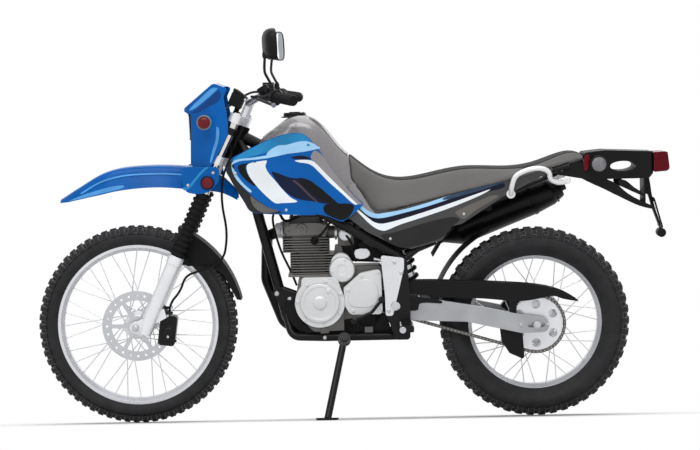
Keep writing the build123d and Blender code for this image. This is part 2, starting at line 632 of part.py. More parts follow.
left_cover = across(626, 414, -112, CASE_LEFT - FIT, 84)
left_cover += across(626, 414, -120, -111, 62)
left_cover += slab([(560, 440, 6), (566, 500, 12), (684, 500, 12), (705, 440, 6)], -104,
                   CASE_LEFT - FIT)
sprocket_cover = slab([(707, 463, 12), (765, 513, 20), (834, 526, 14), (838, 372, 14),
                       (728, 372, 20), (712, 400, 10)], -112, -88)
sprocket_cover += slab([(707, 400, 4), (707, 463, 4), (735, 480, 10), (735, 372, 10)], -88, -62)
sprocket_cover += across(700, 545, -88, -40, 34)
left_covers = left_cover + sprocket_cover
left_covers -= parts["crankcase"] + parts["cylinder"]
parts["left_engine_covers"] = left_covers

right_rows = [(560, 400, 60), (570, 500, 40), (690, 510, 30), (800, 500, 40), (820, 430, 40),
              (770, 362, 40), (640, 348, 40)]
right_cover = slab(right_rows, CASE_RIGHT + FIT, 112)
right_cover += across(715, 425, 112, 132, 68) + across(606, 410, 112, 124, 42)
parts["right_engine_cover"] = right_cover

carb = slab([(690, 600, 8), (690, 680, 8), (745, 680, 8), (745, 600, 8)], -28, 28)
carb += rod((678.3, 0, 646), (692, 0, 646), 40) + across(716, 640, -44, -28, 16)
carb += rod((715, 0, 560), (715, 0, 602), 40)
parts["carburettor"] = carb
duct = tube([(745.3, 0, 646), (796, 0, 646), (856, -62, 658), (960, -50, 672)], [30, 40], 44)
airbox = slab([(940, 616, 10), (940, 720, 10), (1080, 752, 20), (1096, 700, 20),
               (1010, 606, 20)], -66, 66)
parts["airbox"] = airbox + duct

# ---- exhaust ----
MUFFLER_Y = 156
MUFFLER_TILT = 21.6
header_line = [(485.7, 44, 648), (446, 50, 630), (440, 58, 480), (500, 92, 318),
               (560, 112, 306), (760, 118, 318), (838, 152, 430), (930, MUFFLER_Y, 560),
               (1030, MUFFLER_Y, 600)]
parts["exhaust_header"] = tube(header_line, [20, 60, 50, 40, 60, 50, 60], 38) - head
muffler_end = Vector(1472, MUFFLER_Y, 777)
back = Vector(-math.cos(math.radians(MUFFLER_TILT)), 0, -math.sin(math.radians(MUFFLER_TILT)))
muffler_plane = Plane(origin=muffler_end, x_dir=(0, 1, 0), z_dir=back)
muffler = revolve(Plane.XZ * make_face(Polyline((0, 0), (34, 0), (50, 40), (57, 110), (57, 390),
                  (24, 452), (24, 474), (0, 474), close=True)), axis=Axis.Z)
muffler -= Pos(0, 0, -1) * extrude(Circle(17), amount=60)
muffler = muffler_plane * muffler - rod((930, MUFFLER_Y, 560), (1030, MUFFLER_Y, 600), 38.6)
muffler += slab([(1180, 700, 8), (1180, 772, 8), (1216, 778, 8), (1230, 700, 8)], 100, 106)
muffler += slab([(1180, 760, 8), (1180, 778, 8), (1216, 786, 8), (1216, 768, 8)], 86, 101)
parts["muffler"] = muffler - subframe

# ---- tank, seat and side panels ----
tank_rows = [
    (425, 950, 846, 34, 84, 20, 16),
    (478, 1022, 812, 58, 112, 40, 20),
    (524, 1042, 800, 70, 124, 50, 24),
    (603, 1042, 788, 72, 126, 50, 24),
    (677, 975, 770, 68, 112, 44, 24),
    (754, 898, 742, 62, 96, 36, 20),
    (822, 770, 722, 60, 86, 20, 12),
]
tank = lofted(tank_rows)
tank -= slab([(300, 600, 1), (300, 1000, 1), (420, 985, 20), (648, 872, 20), (700, 790, 20),
              (700, 600, 1)], -34, 34)
tank -= both(rod((440, 66, 832), (760, 96, 645), SPAR_D + 10))
seat_cut = [(734, 940, 1), (734, 898, 1), (741, 829, 20), (772, 787, 20), (803, 735, 20),
            (822, 719, 1), (900, 700, 1), (900, 940, 1)]
tank -= slab(seat_cut, -200, 200)
tank -= Pos(552, 0, 1040) * extrude(Circle(40), amount=40)
parts["fuel_tank"] = tank - frame - subframe
parts["fuel_cap"] = Pos(552, 0, 1040.3) * extrude(Circle(36), amount=16)

seat_rows = [
    (733, 912, 700, 52, 84, 12, 4),
    (800, 860, 708, 62, 92, 18, 4),
    (860, 832, 720, 76, 104, 22, 4),
    (975, 832, 748, 92, 114, 24, 4),
    (1183, 862, 799, 96, 114, 24, 4),
    (1406, 892, 854, 84, 102, 16, 4),
    (1527, 904, 883, 66, 80, 8, 4),
]
seat = lofted(seat_rows)
seat -= slab([(700, 600, 1), (700, 1000, 1), (734 - SEAT_GAP, 1000, 1), (734, 898, 1),
              (741, 829 - SEAT_GAP, 20), (772, 787 - SEAT_GAP, 20), (803, 735 - SEAT_GAP, 20),
              (822, 719, 1), (822, 600, 1)], -200, 200)
parts["seat"] = seat - subframe - tank

cover_plan = [(690, 112), (830, 122), (960, 116), (1440, 96)]
side_rows = [(717, 709, 6), (790, 653, 60), (842, 626, 20), (890, 604, 20), (938, 592, 20),
             (1041, 618, 20), (1078, 666, 12), (1111, 673, 12), (1250, 761, 10),
             (1291, 780, 10), (1420, 846, 4), (1420, 857, 4), (889, 726, 30), (823, 720, 20),
             (790, 764, 20), (735, 800, 10)]
side_cover = panel(side_rows, cover_plan, [150, 150], SHEET)
side_cover += rod((900, 88, 707), (900, 120, 707), 16) + rod((1190, 88, 776), (1190, 107, 776), 16)
parts["side_covers"] = both(side_cover) - subframe - frame - parts["muffler"] - tank - seat

shroud_plan = [(322, 142), (420, 152), (600, 148), (850, 112)]
shroud_rows = [(333, 898, 8), (347, 915, 8), (437, 961, 60), (533, 986, 60), (608, 962, 60),
               (752, 795, 40), (803, 733, 20), (814, 708, 10), (790, 682, 20), (649, 728, 30),
               (563, 722, 20), (494, 741, 20), (434, 793, 30), (376, 836, 30), (343, 881, 10)]
shroud = panel(shroud_rows, shroud_plan, [120, 200], SHEET)
shroud += rod((470, 96, 900), (470, 149, 900), 16) + rod((600, 104, 860), (600, 147, 860), 16)
shroud += rod((700, 80, 780), (700, 133, 780), 16)
parts["tank_shrouds"] = both(shroud) - tank - both(side_cover)

# ---- tail ----
tail_rows = [(1440, 852, 4), (1529, 874, 4), (1531, 903, 8), (1600, 910, 20), (1769, 903, 8),
             (1769, 830, 4), (1752, 812, 4), (1542, 812, 20), (1440, 830, 10)]
tail = slab(tail_rows, -78, 78)
tail &= extrude(make_face(FilletPolyline((1430, -76), (1530, -76), (1769, -56), (1769, 56),
                (1530, 76), (1430, 76), radius=[4, 60, 20, 20, 60, 4], close=True)), amount=1300)
window = Plane.XZ.offset(-90) * Pos(1663, 855) * Ellipse(44, 17)
tail -= extrude(window, amount=180, both=True)
tail += strip([(1012, 560), (1042, 609), (1122, 698), (1292, 774), (1460, 838)],
              [40, 60, 60], 4, -64, 64)
tail += strip([(1500, 826), (1542, 810), (1600, 783), (1712, 726), (1764, 715)],
              [40, 60, 30], 4, -66, 66)
tail += slab([(1735, 822, 1), (1735, 722, 1), (1741, 720, 1), (1741, 822, 1)], -50, 50)
parts["rear_fender"] = tail - subframe - seat - parts["airbox"] - parts["side_covers"]
lamp_body = slab([(1769.3, 832, 4), (1769.3, 900, 4), (1816, 902, 10), (1824, 836, 14)], -56, 56)
parts["tail_light"] = lamp_body
signal = across(1574, 866, 100, 140, 27) + across(1574, 866, 60, 100, 8)
parts["rear_signals"] = both(signal) - tail
plate = slab([(1757, 806, 2), (1803, 630, 2), (1799, 629, 1), (1753, 805, 2)], -90, 90)
plate += slab([(1741.3, 800, 1), (1756, 800, 1), (1772, 740, 1), (1741.3, 735, 1)], -30, 30)
plate += slab([(1790, 634, 2), (1796, 598, 8), (1812, 598, 8), (1812, 634, 4)], -36, 36)
parts["plate_bracket"] = plate

rail_points = [(1296, 89.2, 815), (1293, 128, 808), (1312, 128, 852), (1398, 128, 868),
               (1422, 128, 836), (1474, 89.2, 858)]
grab = tube(rail_points, [14, 18, 18, 14], 18)
parts["grab_rails"] = both(grab) - subframe - seat - both(side_cover)

# ---- chain guard and guide ----
guard = slab([(901, 470, 6), (960, 484, 20), (1244, 471, 100), (1398, 455, 20), (1490, 410, 6),
              (1484, 402, 4), (1415, 443, 20), (1157, 458, 100), (930, 466, 20), (905, 455, 6)],
             -97, -62)
guard -= slab([(880, 380, 1), (880, 440, 1), (1500, 440, 1),
                                        (1500, 380, 1)], -98, -61)
guard += slab([(1000, 415, 4), (1000, 465, 4), (1030, 465, 4), (1030, 410, 4)], -94, -90.3)
guard += slab([(1270, 365, 4), (1270, 462, 4), (1290, 462, 4), (1290, 360, 4)], -94, -90.3)
parts["chain_guard"] = guard - parts["swingarm"]
guide_rows = [(1234, 322, 4), (1310, 322, 4), (1318, 204, 8), (1266, 228, 8), (1240, 270, 8)]
guide = slab(guide_rows, -96, -61)
guide -= extrude(Plane.XZ.offset(86) * chain_outline(9), amount=26, dir=(0, 1, 0))
guide -= slab([(1228, 290, 4), (1228, 330, 4), (1325, 330, 4), (1325, 290, 4)], -90.3, -60)
parts["chain_guide"] = guide - parts["swingarm"]

# ---- footrests and foot controls ----
peg = slab([(892, 322, 6), (892, 344, 6), (940, 344, 6), (940, 322, 6)], 132, 226)
peg += slab([(896, 310, 4), (896, 352, 4), (934, 352, 4), (934, 310, 4)], PLATE_Y + FIT, 133)
parts["footpegs"] = both(peg) - frame
shifter = across(835, 422, -132, -112 - FIT, 11)
shifter += tube([(835, -128, 422), (800, -130, 380), (742, -134, 356)], [20], 11)
shifter += across(740, 356, -172, -128, 9)
pedal = across(872, 340, PLATE_Y + FIT, 150, 14)
pedal += tube([(872, 144, 340), (820, 166, 322), (738, 168, 336)], [40], 12)
pedal += slab([(722, 332, 4), (722, 344, 4), (756, 346, 4), (756, 334, 4)], 142, 186)
parts["foot_controls"] = shifter + (pedal - frame)

# ---- side stand: a leg in a tilted plane, its foot flat on the ground ----
STAND_PIVOT = (706, -CRADLE_Y - 34, 290)
STAND_TILT = 28
STAND_LEAD = 12
STAND_NECK = 27
stand_dir = Vector(0, -math.sin(math.radians(STAND_TILT)), -math.cos(math.radians(STAND_TILT)))
stand_axis = Vector(0, -math.cos(math.radians(STAND_TILT)), math.sin(math.radians(STAND_TILT)))
lead = math.radians(STAND_LEAD)
leg_dir = stand_dir * math.cos(lead) + Vector(-math.sin(lead), 0, 0)
stand_pivot = Vector(*STAND_PIVOT)
up = bench.to_local_coords(Vector(0, 0, 1)) - bench.to_local_coords(Vector(0, 0, 0))
fall = -leg_dir.dot(up)
reach = bench.from_local_coords(stand_pivot).Z / fall
foot = stand_pivot + leg_dir * (reach - 6 / fall)
stand = rod(stand_pivot + leg_dir * STAND_NECK, foot, 24)
eye = Plane(origin=stand_pivot - stand_axis * 9, x_dir=leg_dir, z_dir=stand_axis)
stand += eye * extrude(Circle(20), amount=18)
stand += eye * Pos(STAND_NECK / 2 + 4, 0, 9) * Box(STAND_NECK + 8, 22, 18)
pad_plane = Plane(origin=stand_pivot + leg_dir * reach, x_dir=(1, 0, 0), z_dir=up)
stand += pad_plane * Pos(0, -6, 3) * extrude(RectangleRounded(76, 56, 14), amount=5)
stand += pad_plane * Pos(0, -6, 0) * extrude(RectangleRounded(70, 50, 14), amount=3.2)
bolt = eye * Pos(0, 0, -14) * extrude(Circle(8), amount=36)
stand -= eye * Pos(0, 0, -30) * extrude(Circle(8.4), amount=80)
parts["side_stand"] = stand
mount_plate = eye * Pos(0, 0, -9) * extrude(Circle(22), amount=8.5)
bracket = mount_plate + bolt + eye * Pos(0, 0, 18.5) * extrude(Circle(13), amount=5)
bracket += slab([(692, 280, 4), (692, 304, 4), (720, 304, 4), (720, 280, 4)],
                -CRADLE_Y - 22, -CRADLE_Y - 8)
bracket -= eye * Pos(0, 0, -0.5) * extrude(Circle(24) - Circle(8), amount=19)
bracket -= parts["side_stand"]
parts["main_frame"] += bracket

# ---- brake hose ----
hose_points = [tuple(master_end - grip_dir * 0.3), (392, 150, 1128), (318, 76, 1078),
               (316, -62, 1074), (321, -40, 1010), (336, -68, 927), (334, -97, 911),
               (305, -97, 847), (300, -92, 760), (318, -88, 655), (300, -58, 552),
               (168, -58, 510), (152, -68, 460), (117, -68, 420),
               (111.3, -68, 378.4)]


def hose_radii(points, share=0.45):
    radii = []
    for a, b, c in zip(points, points[1:], points[2:]):
        first, second = Vector(*b) - Vector(*a), Vector(*c) - Vector(*b)
        half = math.radians(first.get_angle(second)) / 2
        radii.append(share * min(first.length, second.length) / math.tan(half))
    return radii


print("hose radii", [round(r) for r in hose_radii(hose_points)])
parts["brake_hose"] = tube(hose_points, hose_radii(hose_points), 8)

# ---- set down, the origin under the middle ----
boxes = [(stance * piece).bounding_box() for piece in parts.values()]
middle_x = (min(b.min.X for b in boxes) + max(b.max.X for b in boxes)) / 2
middle_y = (min(b.min.Y for b in boxes) + max(b.max.Y for b in boxes)) / 2
place = Pos(-middle_x, -middle_y, 0) * stance

os.makedirs("parts", exist_ok=True)
for name, piece in parts.items():
    export_step(place * piece, f"parts/{name}.step")
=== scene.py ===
import itertools
import json
from math import acos, atan2, copysign, cos, hypot, pi, radians, sin

import bmesh
import bpy
import numpy as np
from mathutils import Matrix, Vector, geometry


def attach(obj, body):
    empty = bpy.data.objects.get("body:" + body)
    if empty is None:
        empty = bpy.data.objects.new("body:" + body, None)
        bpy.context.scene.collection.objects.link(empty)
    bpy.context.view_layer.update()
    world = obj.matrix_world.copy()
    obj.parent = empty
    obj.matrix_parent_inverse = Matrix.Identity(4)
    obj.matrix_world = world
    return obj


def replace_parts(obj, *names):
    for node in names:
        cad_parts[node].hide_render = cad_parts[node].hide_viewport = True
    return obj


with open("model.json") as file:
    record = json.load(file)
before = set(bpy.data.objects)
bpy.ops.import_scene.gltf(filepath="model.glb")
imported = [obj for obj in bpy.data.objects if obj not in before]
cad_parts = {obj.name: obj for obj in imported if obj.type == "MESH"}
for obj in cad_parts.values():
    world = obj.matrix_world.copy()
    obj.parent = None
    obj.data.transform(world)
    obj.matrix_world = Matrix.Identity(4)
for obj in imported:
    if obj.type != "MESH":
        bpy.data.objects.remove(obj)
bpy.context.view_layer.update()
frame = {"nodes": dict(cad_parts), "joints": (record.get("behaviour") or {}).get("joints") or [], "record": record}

# ---- the upright machine's frame, in millimetres, from the record's joints ----
joints = {j["name"]: j for j in frame["joints"]}
MM = 0.001
FRONT_R, REAR_R, WHEELBASE = 341.0, 325.0, 1360.0
CASTER, FORK_OFFSET = 24.5, 60
front_axle = Vector(joints["front_wheel_spin"]["pos_m"])
rear_axle = Vector(joints["rear_wheel_spin"]["pos_m"])
side = Vector(joints["front_wheel_spin"]["axis"])
line = (rear_axle - front_axle).normalized()
rise = line.cross(side)
slope = atan2(FRONT_R - REAR_R, WHEELBASE)
ex = line * cos(slope) + rise * sin(slope)
ez = rise * cos(slope) - line * sin(slope)
turn = Matrix((ex, side, ez)).transposed().to_4x4()
BIKE = Matrix.Translation(front_axle - ez * FRONT_R * MM) @ turn @ Matrix.Scale(MM, 4)
caster = radians(CASTER)
FORK = BIKE @ Matrix.Translation((FORK_OFFSET / cos(caster), 0, FRONT_R)) @ Matrix.Rotation(caster, 4, "Y")
LEFT, RIGHT, UP = (0, -1, 0), (0, 1, 0), (0, 0, 1)
HANDS = ((-1, "left"), (1, "right"))
SIDES = ((-1, LEFT), (1, RIGHT))


# ---- materials ----
def rgb(text):
    values = [int(text[i:i + 2], 16) / 255 for i in (1, 3, 5)]
    linear = [v / 12.92 if v <= 0.04045 else ((v + 0.055) / 1.055) ** 2.4 for v in values]
    return (*linear, 1.0)


class Nodes:
    """Short ways to add, set and link the nodes of one tree."""

    def __init__(self, tree):
        self.tree = tree

    def add(self, kind, **settings):
        node = self.tree.nodes.new(kind)
        for key, value in settings.items():
            setattr(node, key, value)
        return node

    def put(self, value, socket):
        """Link another node's output to a socket, or set the socket's own value."""
        if isinstance(value, bpy.types.NodeSocket):
            self.tree.links.new(value, socket)
        else:
            socket.default_value = value

    def math(self, operation, *values):
        node = self.add("ShaderNodeMath", operation=operation)
        for value, socket in zip(values, node.inputs):
            self.put(value, socket)
        return node.outputs[0]

    def dot(self, a, b):
        node = self.add("ShaderNodeVectorMath", operation="DOT_PRODUCT")
        self.put(a, node.inputs[0])
        self.put(b, node.inputs[1])
        return node.outputs["Value"]

    def range(self, value, low, high, out_low, out_high):
        node = self.add("ShaderNodeMapRange")
        for key, number in (("From Min", low), ("From Max", high), ("To Min", out_low), ("To Max", out_high)):
            self.put(float(number), node.inputs[key])
        self.put(value, node.inputs["Value"])
        return node.outputs["Result"]

    def mix(self, share, a, b):
        node = self.add("ShaderNodeMix", data_type="RGBA")
        for value, place in ((share, 0), (a, 6), (b, 7)):
            self.put(value, node.inputs[place])
        return node.outputs[2]

    def camera_share(self):
        """1 on what the camera sees straight, mirrored or through glass, and 0 on other rays."""
        ray = self.add("ShaderNodeLightPath").outputs
        seen = self.math("MAXIMUM", ray["Is Camera Ray"], ray["Is Glossy Ray"])
        return self.math("MAXIMUM", seen, ray["Is Transmission Ray"])


class Surface(Nodes):
    """A principled material built from noise, grain, edges lightened for wear and as a painted highlight, and a
    rounded normal.
    """

    def __init__(self, name, colour, rough, metal, coat, specular):
        self.mat = bpy.data.materials.new(name)
        self.mat.use_nodes = True
        super().__init__(self.mat.node_tree)
        self.shader = self.tree.nodes["Principled BSDF"]
        for key, value in (("Metallic", metal), ("Coat Weight", coat), ("Coat Roughness", COAT_ROUGH),
            ("Specular IOR Level", specular)):
            self.put(value, self.shader.inputs[key])
        self.coords = self.add("ShaderNodeTexCoord").outputs["Object"]
        self.base = rgb(colour)
        self.rough = rough
        self.colour = None

    def noise(self, scale, detail):
        node = self.add("ShaderNodeTexNoise")
        for key, value in (("Scale", scale), ("Detail", detail), ("Vector", self.coords)):
            self.put(value, node.inputs[key])
        return node.outputs["Fac"]

    def finish(self, vary, patch=7.0, grain=0.0, size=600.0, edge=0.0, wear_and_highlight_colour="#b8b8b8", spread=0.06,
        bevel=0.0012, height=0.0004):
        tone = self.range(self.noise(patch, 3.0), *NOISE_SPAN, 0.0, 1.0)
        dark, light = [(*(min(1.0, c * k) for c in self.base[:3]), 1.0) for k in (1 - vary, 1 + vary)]
        self.colour = self.mix(tone, dark, light) if self.colour is None else self.mix(
            self.range(tone, 0, 1, 0, vary), self.colour, (0.0, 0.0, 0.0, 1.0))
        fine = self.noise(size, 2.0)
        rough = self.range(fine, *NOISE_SPAN, self.rough - spread, self.rough + spread)
        round_edge = self.add("ShaderNodeBevel", samples=4)
        self.put(bevel, round_edge.inputs["Radius"])
        normal = round_edge.outputs[0]
        # edges are lightened towards their own colour: partly wear, partly a painted highlight where an edge would
        # catch the light
        if edge:
            facing = self.add("ShaderNodeNewGeometry").outputs["Normal"]
            wear_and_highlight_share = self.range(self.dot(facing, normal), *EDGE_SPAN, 0.0, edge)
            self.colour = self.mix(wear_and_highlight_share, self.colour, rgb(wear_and_highlight_colour))
        if grain:
            bump = self.add("ShaderNodeBump")
            for key, value in (("Strength", grain), ("Distance", height), ("Height", fine), ("Normal", normal)):
                self.put(value, bump.inputs[key])
            normal = bump.outputs["Normal"]
        for key, value in (("Normal", normal), ("Base Color", self.colour), ("Roughness", rough)):
            self.put(value, self.shader.inputs[key])
        return self.mat


COAT_ROUGH = 0.06
NOISE_SPAN = (0.3, 0.7)
EDGE_SPAN = (0.995, 0.93)
# slot: colour, roughness, metal, coat, specular, then finish's columns: how far the tone varies,
# patches per metre, grain, grains per metre, lighter edge (wear and painted highlight) and its colour
MATERIALS = {
    "tyre_rubber": ("#212123", 0.62, 0, 0, 0.25, 0.3, 26, 0.3, 900, 0.7, "#88888a"),
    "bare_alloy": ("#d9dade", 0.3, 0.7, 0, 0.5, 0.06, 7, 0.12, 1400, 0.3, "#ffffff"),
    "steel": ("#bfc1c5", 0.28, 0.9, 0, 0.5, 0.08, 7, 0.12, 900, 0.3),
    "fork_silver": ("#e4e5e8", 0.25, 0.4, 0.3, 0.4, 0.04, 7, 0.06, 900),
    "chrome": ("#dcd8d2", 0.12, 1, 0, 0.5, 0.03),
    "black_rubber": ("#101011", 0.6, 0, 0, 0.14, 0.2, 7, 0.35, 1100),
    "black_frame": ("#131314", 0.32, 0, 0.05, 0.15, 0.15, 7, 0.1, 500, 0.25, "#6d6d70"),
    "black_plastic": ("#111112", 0.45, 0, 0, 0.14, 0.15, 7, 0.3, 1500, 0.25, "#4a4a4f"),
    "blue_plastic": ("#0058a6", 0.18, 0, 0.06, 0.1, 0.12, 5, 0.03, 300, 0.3, "#3c8ed6"),
    "tank_silver": ("#868385", 0.26, 0.35, 0.4, 0.4, 0.08, 7, 0.04, 500),
    "seat_cover": ("#6e6c6a", 0.72, 0, 0, 0.2, 0.1, 11, 0.6, 1300),
    "side_grey": ("#454545", 0.34, 0.05, 0.1, 0.15, 0.12, 7, 0.06, 700, 0.3, "#8d8c8a"),
    "engine_case": ("#d2d3d4", 0.42, 0.4, 0, 0.4, 0.07, 7, 0.3, 1000, 0.3, "#ffffff"),
    "engine_fins": ("#6b6966", 0.5, 0.35, 0, 0.4, 0.2, 7, 0.4, 900, 0.35, "#a9a6a2"),
    "exhaust_black": ("#0b0b0c", 0.36, 0.1, 0.04, 0.16, 0.15, 7, 0.2, 700),
    "swing_alloy": ("#a3a5a8", 0.42, 0.5, 0, 0.4, 0.14, 9, 0.2, 900, 0.4, "#e8e8ea"),
    "lens_clear": ("#c9ced3", 0.12, 0, 0.5, 0.5, 0.05, 7, 0.2, 220),
    "lens_red": ("#5c0413", 0.25, 0, 0.06, 0.12, 0.1, 7, 0.3, 260),
    "rail_silver": ("#dfdfe1", 0.25, 0.3, 0.3, 0.4, 0.05, 7, 0.05, 700),
    "chain_steel": ("#5f5c58", 0.4, 0.75, 0, 0.4, 0.25, 40, 0.3, 700, 0.4, "#b9b5ad"),
}
EXTRAS = {"tyre_rubber": {"bevel": 0.0025}, "chrome": {"spread": 0.02}, "mirror_glass": {"spread": 0.02},
    "seat_cover": {"height": 0.0005}, "seat_two_tone": {"height": 0.0005}}


def surface(name, colour, rough, metal, coat, specular, *look):
    return Surface(name, colour, rough, metal, coat, specular).finish(*look, **EXTRAS.get(name, {}))


mats = {name: surface(name, *row) for name, row in MATERIALS.items()}
node_slot = {row["node"]: row["material_slot"] for row in frame["record"]["subparts"]}
LOOKS = {"fork_stanchions": "chrome", "triple_clamps": "fork_silver", "rear_sprocket": "bare_alloy",
    "footpegs": "black_frame", "foot_controls": "black_frame", "carburettor": "engine_fins",
    "crankcase": "engine_fins", "side_stand": "black_frame", "leg_guard": "black_rubber",
    "swingarm": "swing_alloy"}
for name, obj in frame["nodes"].items():
    obj.data.materials.clear()
    obj.data.materials.append(mats[LOOKS.get(name, node_slot[name])])


TOP_SPAN, SIDE_SPAN, FADE = (0.02, 0.1), (0.56, 0.5), 0.004


def two_tone(name, top_colour, behind, base, look):
    """A finish whose top face, behind the x given in millimetres, has its own colour."""
    made = Surface(name, *base)
    point = made.add("ShaderNodeNewGeometry").outputs
    start = (BIKE @ Vector((behind, 0, 0))).dot(ex)
    upward = made.range(made.dot(point["Normal"], ez), *TOP_SPAN, 0.0, 1.0)
    rearward = made.range(made.dot(point["Position"], ex), start, start + FADE, 0.0, 1.0)
    off_side = made.range(made.math("ABSOLUTE", made.dot(point["Normal"], side)), *SIDE_SPAN, 0.0, 1.0)
    share = made.math("MULTIPLY", made.math("MULTIPLY", upward, rearward), off_side)
    made.colour = made.mix(share, rgb(base[0]), rgb(top_colour))
    return made.finish(*look, **EXTRAS.get(name, {}))


mats["seat_two_tone"] = two_tone("seat_two_tone", "#1d1d1e", 700, ("#6e6c6a", 0.7, 0, 0, 0.15),
    (0.1, 11, 0.6, 1300))
mats["tank_two_tone"] = two_tone("tank_two_tone", "#232324", 600, ("#868385", 0.26, 0.35, 0.4, 0.4),
    (0.08, 7, 0.04, 500))

# ---- pieces ----
def outward(mesh, way=None):
    """Turn the faces outwards, or those of an open sheet along a direction."""
    bm = bmesh.new()
    bm.from_mesh(mesh)
    bmesh.ops.recalc_face_normals(bm, faces=bm.faces)
    if way and sum((f.normal for f in bm.faces), Vector()).dot(way) < 0:
        bmesh.ops.reverse_faces(bm, faces=bm.faces)
    bm.to_mesh(mesh)
    bm.free()


def piece(name, verts, faces, look, body, matrix=BIKE, sharp=35):
    mesh = bpy.data.meshes.new(name)
    mesh.from_pydata([tuple(v) for v in verts], [], faces)
    mesh.transform(matrix)
    obj = bpy.data.objects.new(name, mesh)
    bpy.context.collection.objects.link(obj)
    mesh.materials.append(mats[look])
    mesh.shade_smooth()
    mesh.set_sharp_from_angle(angle=radians(sharp))
    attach(obj, body)
    return obj


def smoothed(points, steps=6, closed=True):
    """A Catmull-Rom line through the points."""
    count = len(points)
    out = []
    for i in range(count if closed else count - 1):
        p = [np.array(points[(i + k) % count if closed else min(max(i + k, 0), count - 1)], float)
            for k in (-1, 0, 1, 2)]
        for s in range(steps):
            t = s / steps
            out.append(tuple(0.5 * (2 * p[1] + (p[2] - p[0]) * t + (2 * p[0] - 5 * p[1]
                + 4 * p[2] - p[3]) * t * t + (3 * p[1] - p[0] - 3 * p[2] + p[3]) * t ** 3)))
    if not closed:
        out.append(tuple(float(v) for v in points[-1]))
    return out


def filled(outline, step):
    """Points and triangles of a flat outline, with a grid of points inside it."""
    xs, zs = [p[0] for p in outline], [p[1] for p in outline]
    grid = []
    x = min(xs) + step / 2
    while x < max(xs):
        z = min(zs) + step / 2
        while z < max(zs):
            inside = False
            for (x0, z0), (x1, z1) in zip(outline, outline[1:] + outline[:1]):
                if (z0 > z) != (z1 > z) and x < (x1 - x0) * (z - z0) / (z1 - z0) + x0:
                    inside = not inside
            near = min((x - a) ** 2 + (z - b) ** 2 for a, b in outline)
            if inside and near > (0.4 * step) ** 2:
                grid.append((x, z))
            z += step
        x += step
    points = [Vector(p) for p in outline + grid]
    loop = [list(range(len(outline)))]
    verts, _, faces, _, _, _ = geometry.delaunay_2d_cdt(points, [], loop, 1, 1e-4)
    return [tuple(v) for v in verts], [tuple(f) for f in faces]


DRAPE_GRID, DRAPE_STEPS, RIM_BEVEL = 14, 5, 0.0009


def draped(name, outline, depth, look, body, hand, lift, wall=0.0):
    """A sheet cut to a side-view outline and laid on depth(x, z); hand is -1 on the left."""
    flat, tris = filled(smoothed(outline, DRAPE_STEPS), DRAPE_GRID)
    verts = [(x, hand * (depth(x, z) + lift), z) for x, z in flat]
    faces = [f if hand < 0 else tuple(reversed(f)) for f in tris]
    obj = piece(name, verts, faces, look, body)
    outward(obj.data, side * hand)
    if wall:
        thick = obj.modifiers.new("wall", "SOLIDIFY")
        thick.thickness, thick.offset = wall * MM, -1
        rounded = obj.modifiers.new("edge", "BEVEL")
        rounded.width, rounded.segments, rounded.limit_method = RIM_BEVEL, 2, "ANGLE"
    return obj


# ---- tyres: a carcass with rows of lugs ----
TYRE_TURNS = 96


def tyre(name, outer, width, seat, rows, count, centre, body, node):
    lug = 11.0 if width < 90 else 13.0
    half = width / 2
    core = outer - lug
    profile = [(seat, half * 0.60), (seat + 8, half * 0.66), (seat + (core - seat) * 0.4, half * 0.93),
        (seat + (core - seat) * 0.62, half * 0.96), (core - 16, half * 0.86), (core - 6, half * 0.62),
        (core - 1, half * 0.3), (core, 0)]
    profile = smoothed(profile, 3, closed=False)
    ring = profile + [(r, -y) for r, y in reversed(profile[:-1])]
    verts, faces = [], []
    for i in range(TYRE_TURNS):
        a = 2 * pi * i / TYRE_TURNS
        verts += [(r * cos(a), y, r * sin(a)) for r, y in ring]
    n = len(ring)
    for i in range(TYRE_TURNS):
        for k in range(n - 1):
            a, b = i * n + k, ((i + 1) % TYRE_TURNS) * n + k
            faces.append((a, b, b + 1, a + 1))
    for (angle_share, middle, tilt, long, wide, high), hand in itertools.product(rows, (1, -1)):
        y = middle * hand
        base = core - 10 if middle > half * 0.5 else core - 4
        top = outer - high - (0.0 if middle < half * 0.3 else (middle / half) ** 2 * 10)
        for i in range(count):
            a = 2 * pi * (i + angle_share) / count
            first = len(verts)
            for r, grow in ((base, 1.16), (top - 2.2, 1.0), (top, 0.84)):
                for da, dy in ((-1, -1), (1, -1), (1, 1), (-1, 1)):
                    over = dy * wide / 2 * grow
                    angle = a + (da * long / 2 * grow + over * 0.18 * hand) / outer
                    reach = r - hand * tilt * over
                    verts.append((reach * cos(angle), y + over, reach * sin(angle)))
            for level in (0, 1):
                for k in range(4):
                    p, q = first + level * 4 + k, first + level * 4 + (k + 1) % 4
                    faces.append((p, q, q + 4, p + 4))
            faces.append(tuple(first + 8 + k for k in range(4)))
    obj = piece(name, verts, faces, "tyre_rubber", body, matrix=BIKE @ Matrix.Translation(centre), sharp=28)
    outward(obj.data)
    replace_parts(obj, node)


FRONT_SIZE, REAR_SIZE = (75, 266.7), (120, 228.6)    # width, radius at the rim
FRONT_LUGS, REAR_LUGS = 66, 50
# share of a step, y to either side, slope, length, width, drop
FRONT_ROWS = [(0.0, 9, 0.05, 19, 13, 0), (0.5, 23, 0.3, 17, 11, 4), (0.0, 31, 1.2, 19, 9, 3)]
REAR_ROWS = [(0.0, 14, 0.05, 22, 20, 0), (0.5, 36, 0.35, 20, 16, 5), (0.0, 49, 1.2, 23, 12, 4)]
tyre("front_tyre_tread", FRONT_R, *FRONT_SIZE, FRONT_ROWS, FRONT_LUGS, (0, 0, FRONT_R), "front_wheel",
    "front_tyre")
tyre("rear_tyre_tread", REAR_R, *REAR_SIZE, REAR_ROWS, REAR_LUGS, (WHEELBASE, 0, REAR_R), "rear_wheel",
    "rear_tyre")
